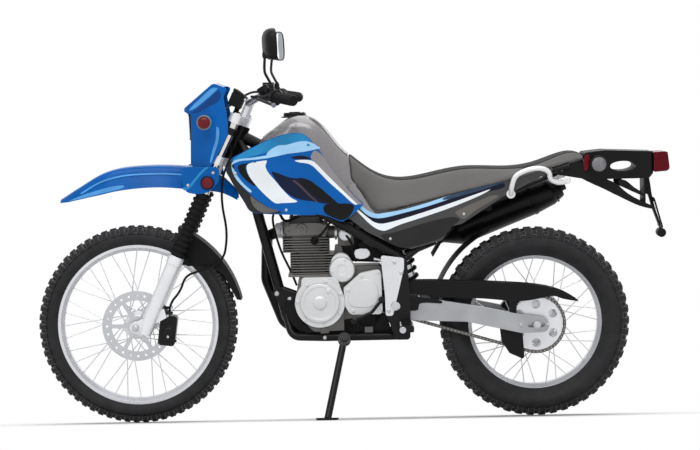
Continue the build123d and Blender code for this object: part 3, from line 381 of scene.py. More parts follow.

# ---- shrouds and their stripes, with painted highlights and painted shade ----
# name: colour, then finish's columns
PAINTS = {
    # some of these colours are painted highlights and painted shade on the plastics; the pale one also colours
    # real stripes
    "sky_paint": ("#2484bb", 0.16, 12), "pale_paint": ("#9fcdf0", 0.1, 14), "white_paint": ("#e6ebf0", 0.06, 9),
    "navy_paint": ("#070d26", 0.2), "black_paint": ("#070709", 0.2), "ink_paint": ("#04122f", 0.3, 9),
    "fade_paint": ("#2d4258", 0.25, 12), "scoop_paint": ("#232324", 0.25, 9), "scoop_grey": ("#5d5c5a", 0.2, 9),
    "panel_dark": ("#232423", 0.2, 8), "panel_light": ("#65625e", 0.2, 8), "blue_shade": ("#063a78", 0.2, 9),
    "blue_light": ("#4f97d6", 0.2, 9), "copper_line": ("#4b3b3c", 0.1), "signal_grey": ("#6d737b", 0.15, 30),
    "lens_amber": ("#65171f", 0.2, 60, 0.4, 300), "lens_smoke": ("#77767a", 0.2, 60, 0.4, 300),
}
for name, (colour, *look) in PAINTS.items():
    mats[name] = surface(name, colour, 0.24, 0, 0.12, 0.12, *look)
mats["mirror_glass"] = surface("mirror_glass", "#6d757d", 0.06, 1, 0, 0.5, 0.04)


def depth_along(points, lift):
    """A panel's half width at an x, straight between the (x, half width) points, and a lift."""
    xs, depths = zip(*points)
    return lambda x, z: float(np.interp(x, xs, depths)) + lift


shroud_depth = depth_along([(322, 140.6), (360, 146.5), (420, 151), (520, 151.5), (600, 149.5), (720, 134),
    (850, 113.5)], 0.6)
cover_depth = depth_along([(690, 113.5), (830, 123), (960, 117.5), (1440, 97.5)], 0.6)

SHROUD = [(321, 871), (337, 902), (347, 915), (372, 927), (412, 947), (458, 968), (505, 985), (545, 992),
    (579, 989), (600, 975), (625, 946), (648, 914), (668, 880), (700, 836), (733, 794), (760, 765), (778, 748),
    (760, 728), (734, 706), (711, 692), (694, 694), (665, 707), (630, 716), (597, 715), (528, 718), (443, 723),
    (400, 732), (378, 766), (350, 812), (331, 847)]
LAYER = 0.04    # each stripe lies this far above the one before it
STRIPES = [
    ("scoop", "scoop_paint", [(322, 871), (337, 901), (349, 906), (350, 875), (362, 835), (387, 803),
        (426, 768), (466, 742), (506, 726), (443, 724), (401, 733), (379, 766), (351, 812), (332, 847)]),
    # painted highlight: the lighter middle of the dark scoop
    ("scoop_lit", "scoop_grey", [(401, 783), (426, 765), (460, 744), (494, 731), (443, 727), (412, 748)]),
    # painted highlight along the shroud's top: the sky blue band
    ("top_band_highlight", "sky_paint", [(343, 903), (372, 925), (412, 945), (458, 966), (505, 983), (545, 990), (579, 987),
        (597, 976), (608, 962), (624, 945), (578, 950), (527, 947), (464, 930), (400, 914), (360, 903)]),
    # painted highlight: the pale patch inside the top band
    ("pale", "pale_paint", [(458, 920), (470, 936), (498, 951), (527, 953), (567, 963), (601, 962), (630, 945),
        (624, 936), (578, 928), (521, 922), (475, 913)]),
    ("thin", "pale_paint", [(341, 884), (347, 893), (372, 902), (417, 905), (463, 910), (509, 919), (555, 928),
        (601, 934), (635, 938), (632, 945), (601, 941), (544, 933), (498, 926), (452, 918), (406, 912),
        (366, 908), (349, 902), (340, 891), (342, 869), (352, 845), (373, 819), (398, 797), (405, 801),
        (379, 826), (359, 852), (349, 872)]),
    ("wedge", "black_paint", [(364, 887), (394, 894), (449, 901), (394, 890), (387, 879), (391, 863),
        (406, 838), (427, 816), (406, 822), (379, 846), (364, 869)]),
    ("chevron", "white_paint", [(392, 886), (407, 895), (454, 902), (458, 896), (454, 882), (463, 861),
        (485, 834), (510, 803), (535, 777), (557, 761), (506, 758), (483, 759), (455, 782), (427, 812),
        (402, 845), (392, 868)]),
    # painted shade: two dark patches below the chevron, the lower one darker
    ("shade", "ink_paint", [(474, 861), (497, 858), (525, 846), (553, 840), (576, 841), (605, 830), (633, 807),
        (667, 778), (689, 754), (655, 752), (609, 762), (575, 767), (541, 780), (507, 809)]),
    ("shade_deep", "black_paint", [(568, 836), (599, 830), (627, 813), (655, 789), (681, 763), (695, 751),
        (666, 753), (632, 770), (598, 796), (576, 817)]),
    ("shade_line", "copper_line", [(545, 831), (564, 814), (598, 779), (621, 760), (626, 761), (605, 781),
        (571, 817), (550, 834)]),
    ("streak", "navy_paint", [(539, 910), (573, 916), (600, 909), (604, 904), (569, 903)]),
    ("rim", "white_paint", [(553, 899), (577, 902), (607, 899), (623, 889), (645, 865), (679, 829), (713, 794),
        (747, 760), (760, 748), (745, 750), (707, 786), (667, 823), (634, 858), (612, 880), (594, 889),
        (569, 893)]),
    ("back", "tank_silver", [(606, 908), (620, 932), (648, 912), (668, 879), (700, 835), (733, 793), (759, 764),
        (774, 749), (760, 748), (747, 760), (713, 794), (679, 829), (645, 865), (624, 889)]),
    ("vent", "black_paint", [(649, 748), (689, 751), (735, 750), (748, 738), (734, 710), (711, 696), (694, 698),
        (665, 711), (648, 724)]),
]
COVER_STRIPES = [
    ("tank_flank", "tank_silver", [(750, 818), (760, 800), (772, 783), (788, 758), (803, 733), (817, 716),
        (806, 707), (788, 711), (772, 722), (760, 742), (742, 770), (728, 796)]),
    ("panel_dark", "panel_dark", [(838, 641), (877, 648), (951, 669), (1010, 685), (1074, 696), (1103, 688),
        (1080, 668), (1068, 650), (1040, 628), (1010, 617), (955, 602), (917, 596), (885, 604), (855, 620)]),
    # painted highlight along the side cover's upper rear edge, under the stripes
    ("panel_light", "panel_light", [(1089, 711), (1109, 725), (1173, 752), (1213, 767), (1236, 764),
        (1207, 745), (1158, 717), (1128, 694), (1112, 690)]),
    ("band_navy", "navy_paint", [(756, 742), (772, 727), (790, 711), (815, 698), (849, 698), (908, 711),
        (992, 732), (1080, 760), (1179, 785), (1250, 807), (1250, 791), (1179, 775), (1080, 747), (991, 720),
        (908, 696), (863, 684), (836, 682), (812, 687), (790, 704), (768, 722), (750, 738)]),
    ("band_pale", "pale_paint", [(740, 776), (768, 748), (796, 724), (822, 714), (849, 716), (908, 725),
        (992, 746), (1081, 773), (1080, 762), (992, 734), (908, 713), (849, 700), (815, 700), (791, 711),
        (762, 737), (736, 764)]),
    ("band_fade", "fade_paint", [(1061, 767), (1179, 799), (1251, 818), (1250, 809), (1179, 787), (1061, 756)]),
    ("band_white", "white_paint", [(814, 686), (836, 680), (863, 683), (908, 694), (991, 718), (1080, 746),
        (1174, 777), (1208, 787), (1174, 768), (1080, 731), (991, 702), (907, 677), (863, 660), (844, 656),
        (821, 664), (796, 683), (768, 712), (752, 728), (756, 734), (776, 716), (800, 696)]),
]
for hand, word in HANDS:
    shroud = draped(f"shroud_{word}", SHROUD, shroud_depth, "blue_plastic", "chassis", hand, 0, 3.0)
    for rows, prefix, depth, lift, slot in ((STRIPES, "shroud_", shroud_depth, 0.25, "blue_plastic"),
        (COVER_STRIPES, "", cover_depth, 0.5, "side_grey")):
        for i, (label, look, outline) in enumerate(rows):
            draped(f"{prefix}{label}_{word}", outline, depth, look, "chassis", hand, lift + LAYER * i)
    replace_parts(shroud, "tank_shrouds")


def circle(count, start=0.0):
    """The cosines and sines of angles spread evenly over a turn."""
    return [(cos(t), sin(t)) for t in (start + 2 * pi * k / count for k in range(count))]


class Heap:
    """Several shapes gathered into one piece, on the upright machine."""

    def __init__(self):
        self.verts, self.faces = [], []

    def put(self, verts, faces):
        first = len(self.verts)
        self.verts += [tuple(v) for v in verts]
        self.faces += [tuple(first + i for i in face) for face in faces]

    def rings(self, rings):
        n = len(rings[0])
        faces = [(i * n + k, i * n + (k + 1) % n, (i + 1) * n + (k + 1) % n, (i + 1) * n + k)
            for i in range(len(rings) - 1) for k in range(n)]
        last = (len(rings) - 1) * n
        faces += [tuple(reversed(range(n))), tuple(last + k for k in range(n))]
        self.put([p for ring in rings for p in ring], faces)

    def lathe(self, centre, axis, rows, sides=28):
        """Rows of (along, radius) turned about an axis through the centre."""
        axis = Vector(axis).normalized()
        u = axis.orthogonal().normalized()
        v = axis.cross(u)
        turns = circle(sides)
        self.rings([[Vector(centre) + axis * a + (u * c + v * s) * r for c, s in turns] for a, r in rows])

    def bolt(self, centre, axis=(0, -1, 0), size=10, high=5):
        """A flanged hexagon head."""
        self.lathe(centre, axis, [(-2, size * 0.72), (1.2, size * 0.72), (1.8, size * 0.62)], 18)
        self.lathe(centre, axis, [(1, size * 0.56), (high - 1, size * 0.56), (high, size * 0.48)], 6)

    def tube(self, points, radius, sides=10, steps=6):
        line = [Vector(p) for p in smoothed(points, steps, closed=False)]
        normal = (line[1] - line[0]).orthogonal().normalized()
        rings = []
        for i, place in enumerate(line):
            ahead = line[min(i + 1, len(line) - 1)] - line[max(i - 1, 0)]
            ahead.normalize()
            normal = (normal - ahead * normal.dot(ahead)).normalized()
            other = ahead.cross(normal)
            rings.append([place + (normal * c + other * s) * radius for c, s in circle(sides)])
        self.rings(rings)

    def plate(self, rows, y_low, y_high, chamfer=1.2, steps=1):
        """A side-view outline between two depths, in either order, with chamfered rims."""
        y_low, y_high = sorted((y_low, y_high))
        edge = smoothed(rows, steps) if steps > 1 else [tuple(map(float, p)) for p in rows]
        area = sum(a[0] * b[1] - b[0] * a[1] for a, b in zip(edge, edge[1:] + edge[:1]))
        inset = []
        for i, (x, z) in enumerate(edge):
            x0, z0 = edge[i - 1]
            x1, z1 = edge[(i + 1) % len(edge)]
            dx, dz = x1 - x0, z1 - z0
            size = hypot(dx, dz) or 1.0
            way = chamfer / size * (1 if area > 0 else -1)
            inset.append((x - dz * way, z + dx * way))
        levels = ((inset, y_low), (edge, y_low + chamfer), (edge, y_high - chamfer), (inset, y_high))
        self.rings([[(x, y, z) for x, z in line] for line, y in levels])

    def make(self, name, look, body, slot=None, sharp=32):
        obj = piece(name, self.verts, self.faces, look, body, sharp=sharp)
        outward(obj.data)
        return obj


# ---- fork shields, reflectors and turn signals ----
SHIELD = [(172, 876), (196, 884), (250, 882), (291, 880), (296, 850), (290, 826), (262, 800), (228, 792),
    (186, 800), (172, 836)]
# a painted highlight on the fork shield, laid as a thin plate along its crease
SHIELD_HIGHLIGHT = [(176, 806), (196, 812), (222, 842), (246, 868), (262, 881), (252, 882), (234, 868), (208, 838),
    (188, 818), (174, 816)]
SIDE_LAMP = [(1532, 893), (1545, 896), (1548, 876), (1540, 846), (1530, 843), (1526, 866)]
# name, outline, inner and outer depth, chamfer, steps, look, slot
SHIELD_PARTS = [
    ("fork_shield", SHIELD, 118.5, 121.5, 1.0, 4, "blue_plastic", None),
    ("shield_crease", SHIELD_HIGHLIGHT, 121.2, 122.2, 0.4, 3, "sky_paint", "blue_plastic"),
]
# name, x, y, z, look, slot, body, (along, radius) rows
ROUND_PARTS = [
    ("reflector_frame", 256, 106, 829, "black_plastic", None, "fork", [(0, 8), (14, 8), (14.5, 22), (20, 23),
        (22, 21.5), (22, 19), (20.5, 18.5)]),
    ("reflector", 256, 126, 829, "lens_amber", "lens_red", "fork", [(-1, 18.8), (1.2, 18.4), (2.6, 15),
        (3.2, 8), (3.4, 1)]),
    ("front_signal_case", 253, 109, 1033, "signal_grey", "black_plastic", "fork", [(0, 9), (3, 10), (8, 8),
        (30, 7), (36, 8), (37, 17), (46, 24), (58, 25.5), (60, 24), (60, 20.5), (57, 20)]),
    ("front_signal", 253, 165, 1033, "lens_amber", "lens_red", "fork", [(0, 20.2), (4.5, 19.5), (8.5, 15),
        (10.5, 8), (11, 1)]),
    ("rear_signal_case", 1574, 72, 866, "black_plastic", None, "chassis", [(0, 10), (4, 11), (9, 8), (30, 8),
        (34, 12), (36, 24), (46, 29), (56, 29.5), (58, 28), (58, 25), (55, 24.5)]),
    ("rear_signal", 1574, 127, 866, "lens_smoke", "lens_clear", "chassis", [(0, 24.6), (5, 24), (9, 19),
        (11.5, 10), (12, 1)]),
]
for hand, word in HANDS:
    for name, outline, near, far, chamfer, steps, look, slot in SHIELD_PARTS:
        flat = Heap()
        flat.plate(outline, hand * near, hand * far, chamfer, steps)
        flat.make(f"{name}_{word}", look, "fork", slot)
    made = {}
    for name, x, y, z, look, slot, body, rows in ROUND_PARTS:
        round_part = Heap()
        round_part.lathe((x, hand * y, z), (0, hand, 0), rows, 32)
        made[name] = round_part.make(f"{name}_{word}", look, body, slot)
    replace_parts(made["front_signal"], "front_signals")
    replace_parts(made["rear_signal"], "rear_signals")
    side_lamp = Heap()
    side_lamp.plate(SIDE_LAMP, hand * 74.5, hand * 84, 1.5, 3)
    side_lamp.make(f"side_reflector_{word}", "lens_red", "chassis")

# ---- the chain, link by link ----
PITCH, DRIVE, REAR = 12.7, Vector((790, 425)), Vector((WHEELBASE, REAR_R))
DRIVE_TEETH, REAR_TEETH = 15, 48
CHAIN_Y, LINK_R = -74, 5.0
drive_r = PITCH / 2 / sin(pi / DRIVE_TEETH)
rear_r = PITCH / 2 / sin(pi / REAR_TEETH)
between = REAR - DRIVE
tilt = atan2(between.y, between.x)
spread = acos((drive_r - rear_r) / between.length)


def on_wheel(centre, radius, angle):
    return centre + radius * Vector((cos(angle), sin(angle)))


def chain_line():
    """Points round both sprockets: upper run, rear arc, lower run and front arc."""
    top, bottom = tilt + spread, tilt - spread
    upper = on_wheel(DRIVE, drive_r, top), on_wheel(REAR, rear_r, top)
    lower = on_wheel(REAR, rear_r, bottom), on_wheel(DRIVE, drive_r, bottom)
    upper_run = [upper[0].lerp(upper[1], i / 60) for i in range(60)]
    rear_arc = [on_wheel(REAR, rear_r, t) for t in np.linspace(top, bottom, 60)]
    lower_run = [lower[0].lerp(lower[1], i / 60) for i in range(1, 60)]
    front_arc = [on_wheel(DRIVE, drive_r, t) for t in np.linspace(bottom, top - 2 * pi, 40)]
    return upper_run + rear_arc + lower_run + front_arc


loop = chain_line()
lengths = np.cumsum([0] + [(q - p).length for p, q in zip(loop, loop[1:] + loop[:1])])
count = 2 * round(lengths[-1] / PITCH / 2)
xs, zs = [p.x for p in loop + loop[:1]], [p.y for p in loop + loop[:1]]
places = np.linspace(0, lengths[-1], count, endpoint=False)
pins = [Vector((float(np.interp(d, lengths, xs)), float(np.interp(d, lengths, zs)))) for d in places]
links, rollers = Heap(), Heap()
for i, (p, q) in enumerate(zip(pins, pins[1:] + pins[:1])):
    ahead = (q - p).normalized()
    across = Vector((-ahead.y, ahead.x))
    shape = []
    for centre, way in ((p, -1), (q, 1)):
        for angle in (-80, -40, 0, 40, 80):
            t = radians(angle) * way
            shape.append(centre + (ahead * way * cos(t) + across * sin(t)) * LINK_R)
    shape = shape[4::-1] + shape[:4:-1]
    out = 6.6 if i % 2 else 4.7
    for y in (CHAIN_Y - out, CHAIN_Y + out):
        links.rings([[(a.x, y - 0.8, a.y) for a in shape], [(a.x, y + 0.8, a.y) for a in shape]])
    rollers.lathe((p.x, CHAIN_Y, p.y), (0, 1, 0), [(-7.9, 1.8), (-4, 1.8), (-3.9, 4.2), (3.9, 4.2), (4, 1.8),
        (7.9, 1.8)], 10)
chain = links.make("chain_links", "chain_steel", "chassis")
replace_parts(chain, "drive_chain")
rollers.make("chain_rollers", "steel", "chassis")

# ---- chain guard and slider ----
guard = Heap()
guard.plate([(903, 440), (906, 470), (960, 482), (1100, 478), (1244, 470), (1330, 463), (1398, 452),
    (1450, 434), (1498, 408), (1494, 402), (1450, 410), (1415, 420), (1345, 408), (1286, 405), (1180, 416),
    (1060, 422), (1000, 428), (940, 438)], -98, -95, 1.0, 3)
guard.plate([(1000, 416), (1000, 458), (1034, 458), (1030, 410)], -97.5, -91, 1.0)
guard.plate([(1268, 366), (1268, 452), (1296, 452), (1292, 362)], -97.5, -91, 1.0)
guard.tube([(906, -80, 471), (960, -80, 483), (1100, -80, 479), (1244, -80, 471), (1330, -80, 464),
    (1398, -80, 453), (1450, -80, 435), (1494, -80, 409)], 2.2, 8)
guard.plate([(910, 468), (960, 480), (1100, 476.5), (1244, 469), (1398, 451), (1494, 405), (1490, 403),
    (1396, 448), (1244, 466), (1100, 473.5), (960, 477), (912, 465)], -97, -64, 0.8, 2)
guard.make("chain_guard_shell", "black_plastic", "chassis")

# ---- engine dressing ----
def ring_of(heap, x, z, radius, count, y, axis, size, high, start=0.4):
    for c, s in circle(count, start):
        heap.bolt((x + radius * c, y, z + radius * s), axis, size, high)


cases = Heap()
cases.lathe((626, -118, 414), LEFT, [(-3, 66), (2, 66), (4.5, 63), (4.5, 55), (2.5, 53), (2.5, 24), (5, 22),
    (7, 17), (7.5, 1)], 56)
cases.lathe((655, -119.5, 456), LEFT, [(0, 9), (4, 9), (5, 7), (5.2, 1)], 20)
ring_of(cases, 626, 414, 76, 7, -111.5, LEFT, 9, 5)
for x, z in ((720, 455), (768, 503), (827, 515), (828, 384), (738, 384)):
    cases.bolt((x, -111.5, z), LEFT, 9, 5)
cases.plate([(730, 402), (812, 402), (820, 470), (770, 492), (728, 452)], -114.5, -111, 1.5, 3)
cases.lathe((703, -62, 524), LEFT, [(0, 44), (30, 44), (37, 40), (39, 34), (39, 18), (37, 16), (37, 1)], 44)
ring_of(cases, 703, 524, 34, 3, -100, LEFT, 7, 4, 1.2)
cases.lathe((502, 38, 652), (-1, 0.2, -0.1), [(-6, 30), (4, 30), (8, 27), (22, 26), (25, 22)], 32)
for y in (10, 66):
    cases.bolt((492, y, 655), (-1, 0.2, -0.1), 9, 8)
ring_of(cases, 715, 425, 80, 9, 111.5, RIGHT, 9, 5)
cases.lathe((715, 130, 425), RIGHT, [(-3, 60), (3, 60), (5, 57), (5, 30), (3, 28), (3, 1)], 48)
cases.lathe((606, 122, 410), RIGHT, [(-3, 36), (3, 36), (5, 33), (5, 14), (8, 12), (9, 8), (9, 1)], 36)
cases.make("engine_cover_details", "engine_case", "chassis")

head = Heap()
for hand, axis in SIDES:
    head.plate([(517, 645), (517, 676), (560, 684), (648, 680), (650, 646), (600, 641)], hand * 63, hand * 70,
        2, 3)
    for x, z in ((525, 652), (525, 672), (641, 652), (641, 674)):
        head.bolt((x, hand * 69, z), axis, 8, 5)
    head.lathe((568, hand * 66, 663), axis, [(0, 19), (6, 19), (8, 16), (8, 7), (10, 6), (10, 1)], 30)
for x, y in itertools.product((532, 632), (-40, 40)):
    head.bolt((x, y, 701), UP, 9, 6)
head.plate([(520, 500), (520, 508), (690, 508), (690, 500)], -80, 80, 1)
for x, y in itertools.product((531, 675), (-68, 68)):
    head.bolt((x, y, 507), UP, 9, 7)
head.plate([(680, 548), (680, 600), (704, 596), (706, 556)], -30, 26, 2, 2)
head.bolt((700, -20, 576), (1, 0, 0), 11, 7)
head.make("cylinder_head_details", "engine_fins", "chassis")

dark = Heap()
dark.lathe((612, -62, 622), LEFT, [(0, 14), (8, 14), (10, 9), (26, 9), (30, 6)], 20)
dark.tube([(612, -90, 622), (612, -106, 628), (640, -104, 652), (668, -92, 690), (680, -70, 730)], 4.2)
dark.tube([(745, 0, 648), (770, -6, 650), (800, -20, 648), (832, -40, 652)], 27, 24, 5)
for a in (0.06, 0.32, 0.58):
    centre = Vector((745, 0, 648)).lerp(Vector((832, -40, 652)), a)
    dark.lathe(centre, (0.92, -0.38, 0.03), [(-3, 29), (3, 29), (4, 26)], 24)
dark.plate([(762, 596), (765, 616), (850, 622), (896, 600), (900, 566), (872, 548), (838, 552), (790, 548)],
    -62, 62, 3, 2)
dark.plate([(792, 676), (800, 712), (870, 726), (930, 740), (936, 640), (880, 622), (806, 640)], -58, 58, 3, 2)
dark.plate([(862, 470), (862, 548), (905, 548), (905, 476)], -60, 60, 3)
dark.tube([(648, -36, 772), (660, -52, 740), (690, -56, 712), (716, -44, 690)], 4.5)
dark.tube([(716, -46, 640), (736, -66, 612), (740, -70, 580), (752, -64, 548)], 4)
dark.tube([(500, -30, 760), (470, -34, 700), (492, -46, 600), (528, -60, 520), (548, -66, 470)], 4)
dark.tube([(470, 20, 770), (500, -16, 700), (520, -44, 690), (560, -58, 706)], 5)
dark.lathe((690, -30, 716), (0.2, -1, 0), [(0, 16), (10, 16), (14, 12)], 24)
dark.plate([(636, 700), (640, 742), (700, 742), (704, 712), (676, 694)], -52, -20, 3, 2)
dark.make("engine_rubber_parts", "black_rubber", "chassis")

bright = Heap()
bright.lathe((716, -40, 640), LEFT, [(0, 22), (8, 22), (10, 19), (12, 9), (12, 1)], 28)
bright.lathe((748, 0, 648), (0.95, -0.3, 0), [(-4, 30), (4, 30)], 28)
bright.lathe((684, 0, 646), (1, 0, 0), [(-4, 27), (4, 27)], 28)
bright.plate([(748, 560), (748, 588), (790, 592), (800, 570), (780, 556)], -68, -58, 2, 2)
bright.tube([(812, -66, 556), (840, -70, 548), (856, -72, 520), (850, -74, 480)], 5)
bright.plate([(912, 604), (912, 646), (958, 646), (958, 604)], -86, -70, 2)
for z in range(608, 646, 6):
    bright.plate([(910, z), (910, z + 2.4), (960, z + 2.4), (960, z)], -94, -84, 0.6)
bright.make("engine_metal_parts", "bare_alloy", "chassis")

# ---- bolts on the frame, fork, wheels and bodywork ----
frame_bolts = Heap()
for hand, axis in SIDES:
    frame_bolts.lathe((882, hand * 131.5, 400), axis, [(0, 15), (3, 15), (4, 12), (4.2, 1)], 28)
    for x, z in ((880, 548), (903, 512), (858, 384)):
        frame_bolts.bolt((x, hand * 124.6, z), axis, 9, 5)
    frame_bolts.bolt((478, hand * 34.6, 440), axis, 11, 7)
    frame_bolts.bolt((522, hand * 34.6, 420), axis, 11, 7)
    frame_bolts.bolt((640, hand * 86, 292), axis, 9, 5)
    frame_bolts.bolt((1360, hand * 121.6, 325), axis, 17, 11)
    for x in (1306, 1398):
        frame_bolts.bolt((x, hand * 109.6, 325), axis, 8, 6)
    frame_bolts.lathe((1452, hand * 76, 850), axis, [(0, 8), (3, 8), (4, 5)], 18)
    for x, z in ((868, 628), (1118, 706)):
        frame_bolts.bolt((x, hand * (cover_depth(x, z) + 0.4), z), axis, 7, 3.5)
    for x, z in ((520, 734), (352, 860)):
        frame_bolts.bolt((x, hand * (shroud_depth(x, z) + 0.6), z), axis, 7, 3.5)
frame_bolts.make("chassis_bolts", "steel", "chassis")

fork_bolts = Heap()
for hand, axis in SIDES:
    fork_bolts.bolt((0, hand * 121, 341), axis, 15, 8)
    fork_bolts.bolt((190, hand * 121.4, 822), axis, 7, 3.5)
    fork_bolts.bolt((276, hand * 121.4, 862), axis, 7, 3.5)
for z in (-36, 36):
    fork_bolts.bolt((106, -80.6, 341 + z), LEFT, 9, 6)
fork_bolts.bolt((120, -76, 402), (0.3, -0.3, 1), 6, 9)
for x, y in itertools.product((386, 414), (-57, -33, 33, 57)):
    fork_bolts.bolt((x, y, 1103), UP, 7, 6)
fork_bolts.make("fork_bolts", "steel", "fork")

# ---- mirrors, switches and grips ----
BAR_END = Vector((556, 398, 1104))
BAR_WAY = (BAR_END - Vector((452, 215, 1124))).normalized()
GRIP = BAR_END - BAR_WAY * 114


MIRROR_W, MIRROR_H = 60, 52
GRIP_RIBS = 17


def squared(value):
    """A cosine or sine that makes a rounded rectangle instead of an oval."""
    return copysign(abs(value) ** 0.62, value)


def other_side(point, hand):
    return Vector((point[0], point[1] * hand, point[2]))


for hand, word in HANDS:
    way, grip = other_side(BAR_WAY, hand), other_side(GRIP, hand)
    ribs = Heap()
    rows = [(1, 17), (1.2, 23.4), (5.6, 23.4), (6.4, 18)]
    for k in range(GRIP_RIBS):
        rows += [(9 + 6 * k, 16.8), (9.8 + 6 * k, 18.1), (12.4 + 6 * k, 18.1), (13.2 + 6 * k, 16.8)]
    ribs.lathe(grip, way, rows + [(118, 17.6), (121.5, 16), (122.5, 9)], 24)
    ribs.make(f"grip_ribs_{word}", "black_rubber", "fork")

    box = Heap()
    box.lathe(grip - way * 19, way, [(0, 17), (1.5, 22), (16, 23), (17.5, 18)], 10)
    box.lathe(grip - way * 17 + Vector((4, 0, -14)), way, [(0, 11), (1.5, 15), (13, 15), (14, 12)], 10)
    box.lathe(grip - way * 76, way, [(0, 16), (2, 20), (18, 21), (20, 17)], 10)
    box.lathe(grip - way * 32 + Vector((-14, 0, 12)), (-0.3, 0, 1), [(0, 8), (16, 8), (20, 6)], 14)
    box.lathe(grip - way * 66 + Vector((-6, 0, 10)), (-0.6, 0, 1), [(0, 17), (3, 20), (20, 20), (22, 18)], 14)
    box.lathe(grip - way * 40 + Vector((-36, 0, -4)), (-0.9, -0.2 * hand, 0.1), [(0, 7), (14, 7), (16, 5),
        (30, 4)], 12)
    box.make(f"switch_box_{word}", "black_plastic", "fork")

    small = Heap()
    for along, drop in ((-13, 6), (-6, 12), (-13, -4)):
        small.lathe(grip + way * along + Vector((21, 0, -drop)), (1, 0, 0.1), [(0, 4), (3.5, 4), (4.2, 3)], 14)
    ball = other_side(BAR_END + Vector((-62, -18, -14)), hand)
    small.lathe(ball, way, [(8 * sin(a), 8 * cos(a)) for a in np.linspace(-1.5, 1.5, 9)], 16)
    small.bolt(grip - way * 32 + Vector((-42, 0, 4)), UP, 7, 5)
    small.make(f"switch_buttons_{word}", "signal_grey", "fork", slot="black_plastic")

    housing, glass, stem = Heap(), Heap(), Heap()
    middle = Vector((483, hand * 336, 1287))
    look_back = Vector((1, -hand * 0.22, 0.04)).normalized()
    across_it = look_back.cross(Vector(UP)).normalized()
    up_it = across_it.cross(look_back)

    def oval(along, share):
        return [middle + look_back * along + across_it * MIRROR_W * share * squared(c)
            + up_it * MIRROR_H * share * squared(s) for c, s in circle(48)]

    housing.rings([oval(a, s) for a, s in ((-20, 0.35), (-18, 0.6), (-12, 0.82), (-4, 0.94), (6, 0.99),
        (13, 1.0), (15, 0.985), (15, 0.94), (12.5, 0.93))])
    housing.make(f"mirror_housing_{word}", "black_plastic", "fork")
    glass.rings([oval(12.6, 0.932), oval(13.4, 0.925), oval(13.8, 0.9), oval(14.0, 0.5)])
    glass.make(f"mirror_glass_{word}", "mirror_glass", "fork", slot="steel")
    foot = other_side(GRIP - BAR_WAY * 32 + Vector((0, 0, 17)), hand)
    stem.lathe(foot, UP, [(0, 11), (8, 11), (9, 9), (20, 9), (21, 6), (26, 6)], 18)
    stem.tube([foot + Vector((0, 0, 22)), foot + Vector((-12, 4 * hand, 44)), (464, hand * 292, 1200),
        (466, hand * 318, 1238), (468, hand * 330, 1262)], 4.6, 12)
    stem.lathe((468, hand * 328, 1250), (0.1, 0.3 * hand, 1), [(-8, 6), (-4, 9), (8, 10), (14, 8)], 18)
    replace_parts(stem.make(f"mirror_stem_{word}", "black_frame", "fork"), "mirrors")

# ---- the cap of the tank ----
CAP_X = 552
cap = Heap()
cap.lathe((CAP_X, 0, 1040), UP, [(0, 46), (2.5, 46), (4, 44), (4.5, 39), (10, 38.5), (15, 37.5), (16.5, 34),
    (16, 24), (14.5, 22), (14.5, 1)], 40)
for c, s in circle(3):
    cap.lathe((CAP_X + 28 * c, 28 * s, 1055), UP, [(0, 4), (2.4, 4), (3, 3)], 6)
cap.plate([(532, 1054), (534, 1059.5), (570, 1059.5), (572, 1054)], -8, 8, 1.5)
cap.make("fuel_cap_flange", "black_plastic", "chassis")

# ---- tail arms and plate holder ----
arms = Heap()
for hand in (-1, 1):
    arms.plate([(1522, 826), (1542, 805), (1600, 777), (1660, 746), (1716, 719), (1764, 707), (1770, 713),
        (1740, 728), (1700, 748), (1668, 770), (1640, 796), (1600, 814), (1560, 826)], hand * 60, hand * 67,
        1.5, 3)
    arms.plate([(1648, 792), (1690, 770), (1730, 752), (1734, 760), (1700, 782), (1672, 806), (1650, 808)],
        hand * 60, hand * 67, 1.5, 2)
arms.make("tail_arms", "black_plastic", "chassis")
holder = Heap()
holder.plate([(1741, 812), (1758, 812), (1766, 760), (1778, 706), (1800, 640), (1795, 638), (1770, 704),
    (1756, 752), (1742, 760)], -16, 16, 1.2, 2)
for y in (-40, 40):
    holder.plate([(1768, 742), (1773, 742), (1801, 642), (1796, 640)], y - 6, y + 6, 1)
for x, z in ((1770, 738), (1797, 650)):
    holder.plate([(x - 3, z - 7), (x + 1, z - 7), (x + 1, z + 7), (x - 3, z + 7)], -46, 46, 1)
holder.lathe((1799, -22, 622), RIGHT, [(0, 12), (2, 15.5), (42, 15.5), (44, 12)], 32)
holder.lathe((1799, -24.5, 622), RIGHT, [(0, 8), (3, 9)], 24)
holder.lathe((1799, 24.5, 622), LEFT, [(0, 8), (3, 9)], 24)
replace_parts(holder.make("plate_holder", "black_plastic", "chassis"), "plate_bracket")
lamp = Heap()
for k in range(9):
    x = 1774 + 5 * k
    lamp.plate([(x, 838), (x, 899), (x + 2.2, 899), (x + 2.2, 838)], -57.2, 57.2, 0.6)
lamp.make("tail_light_ribs", "lens_red", "chassis")

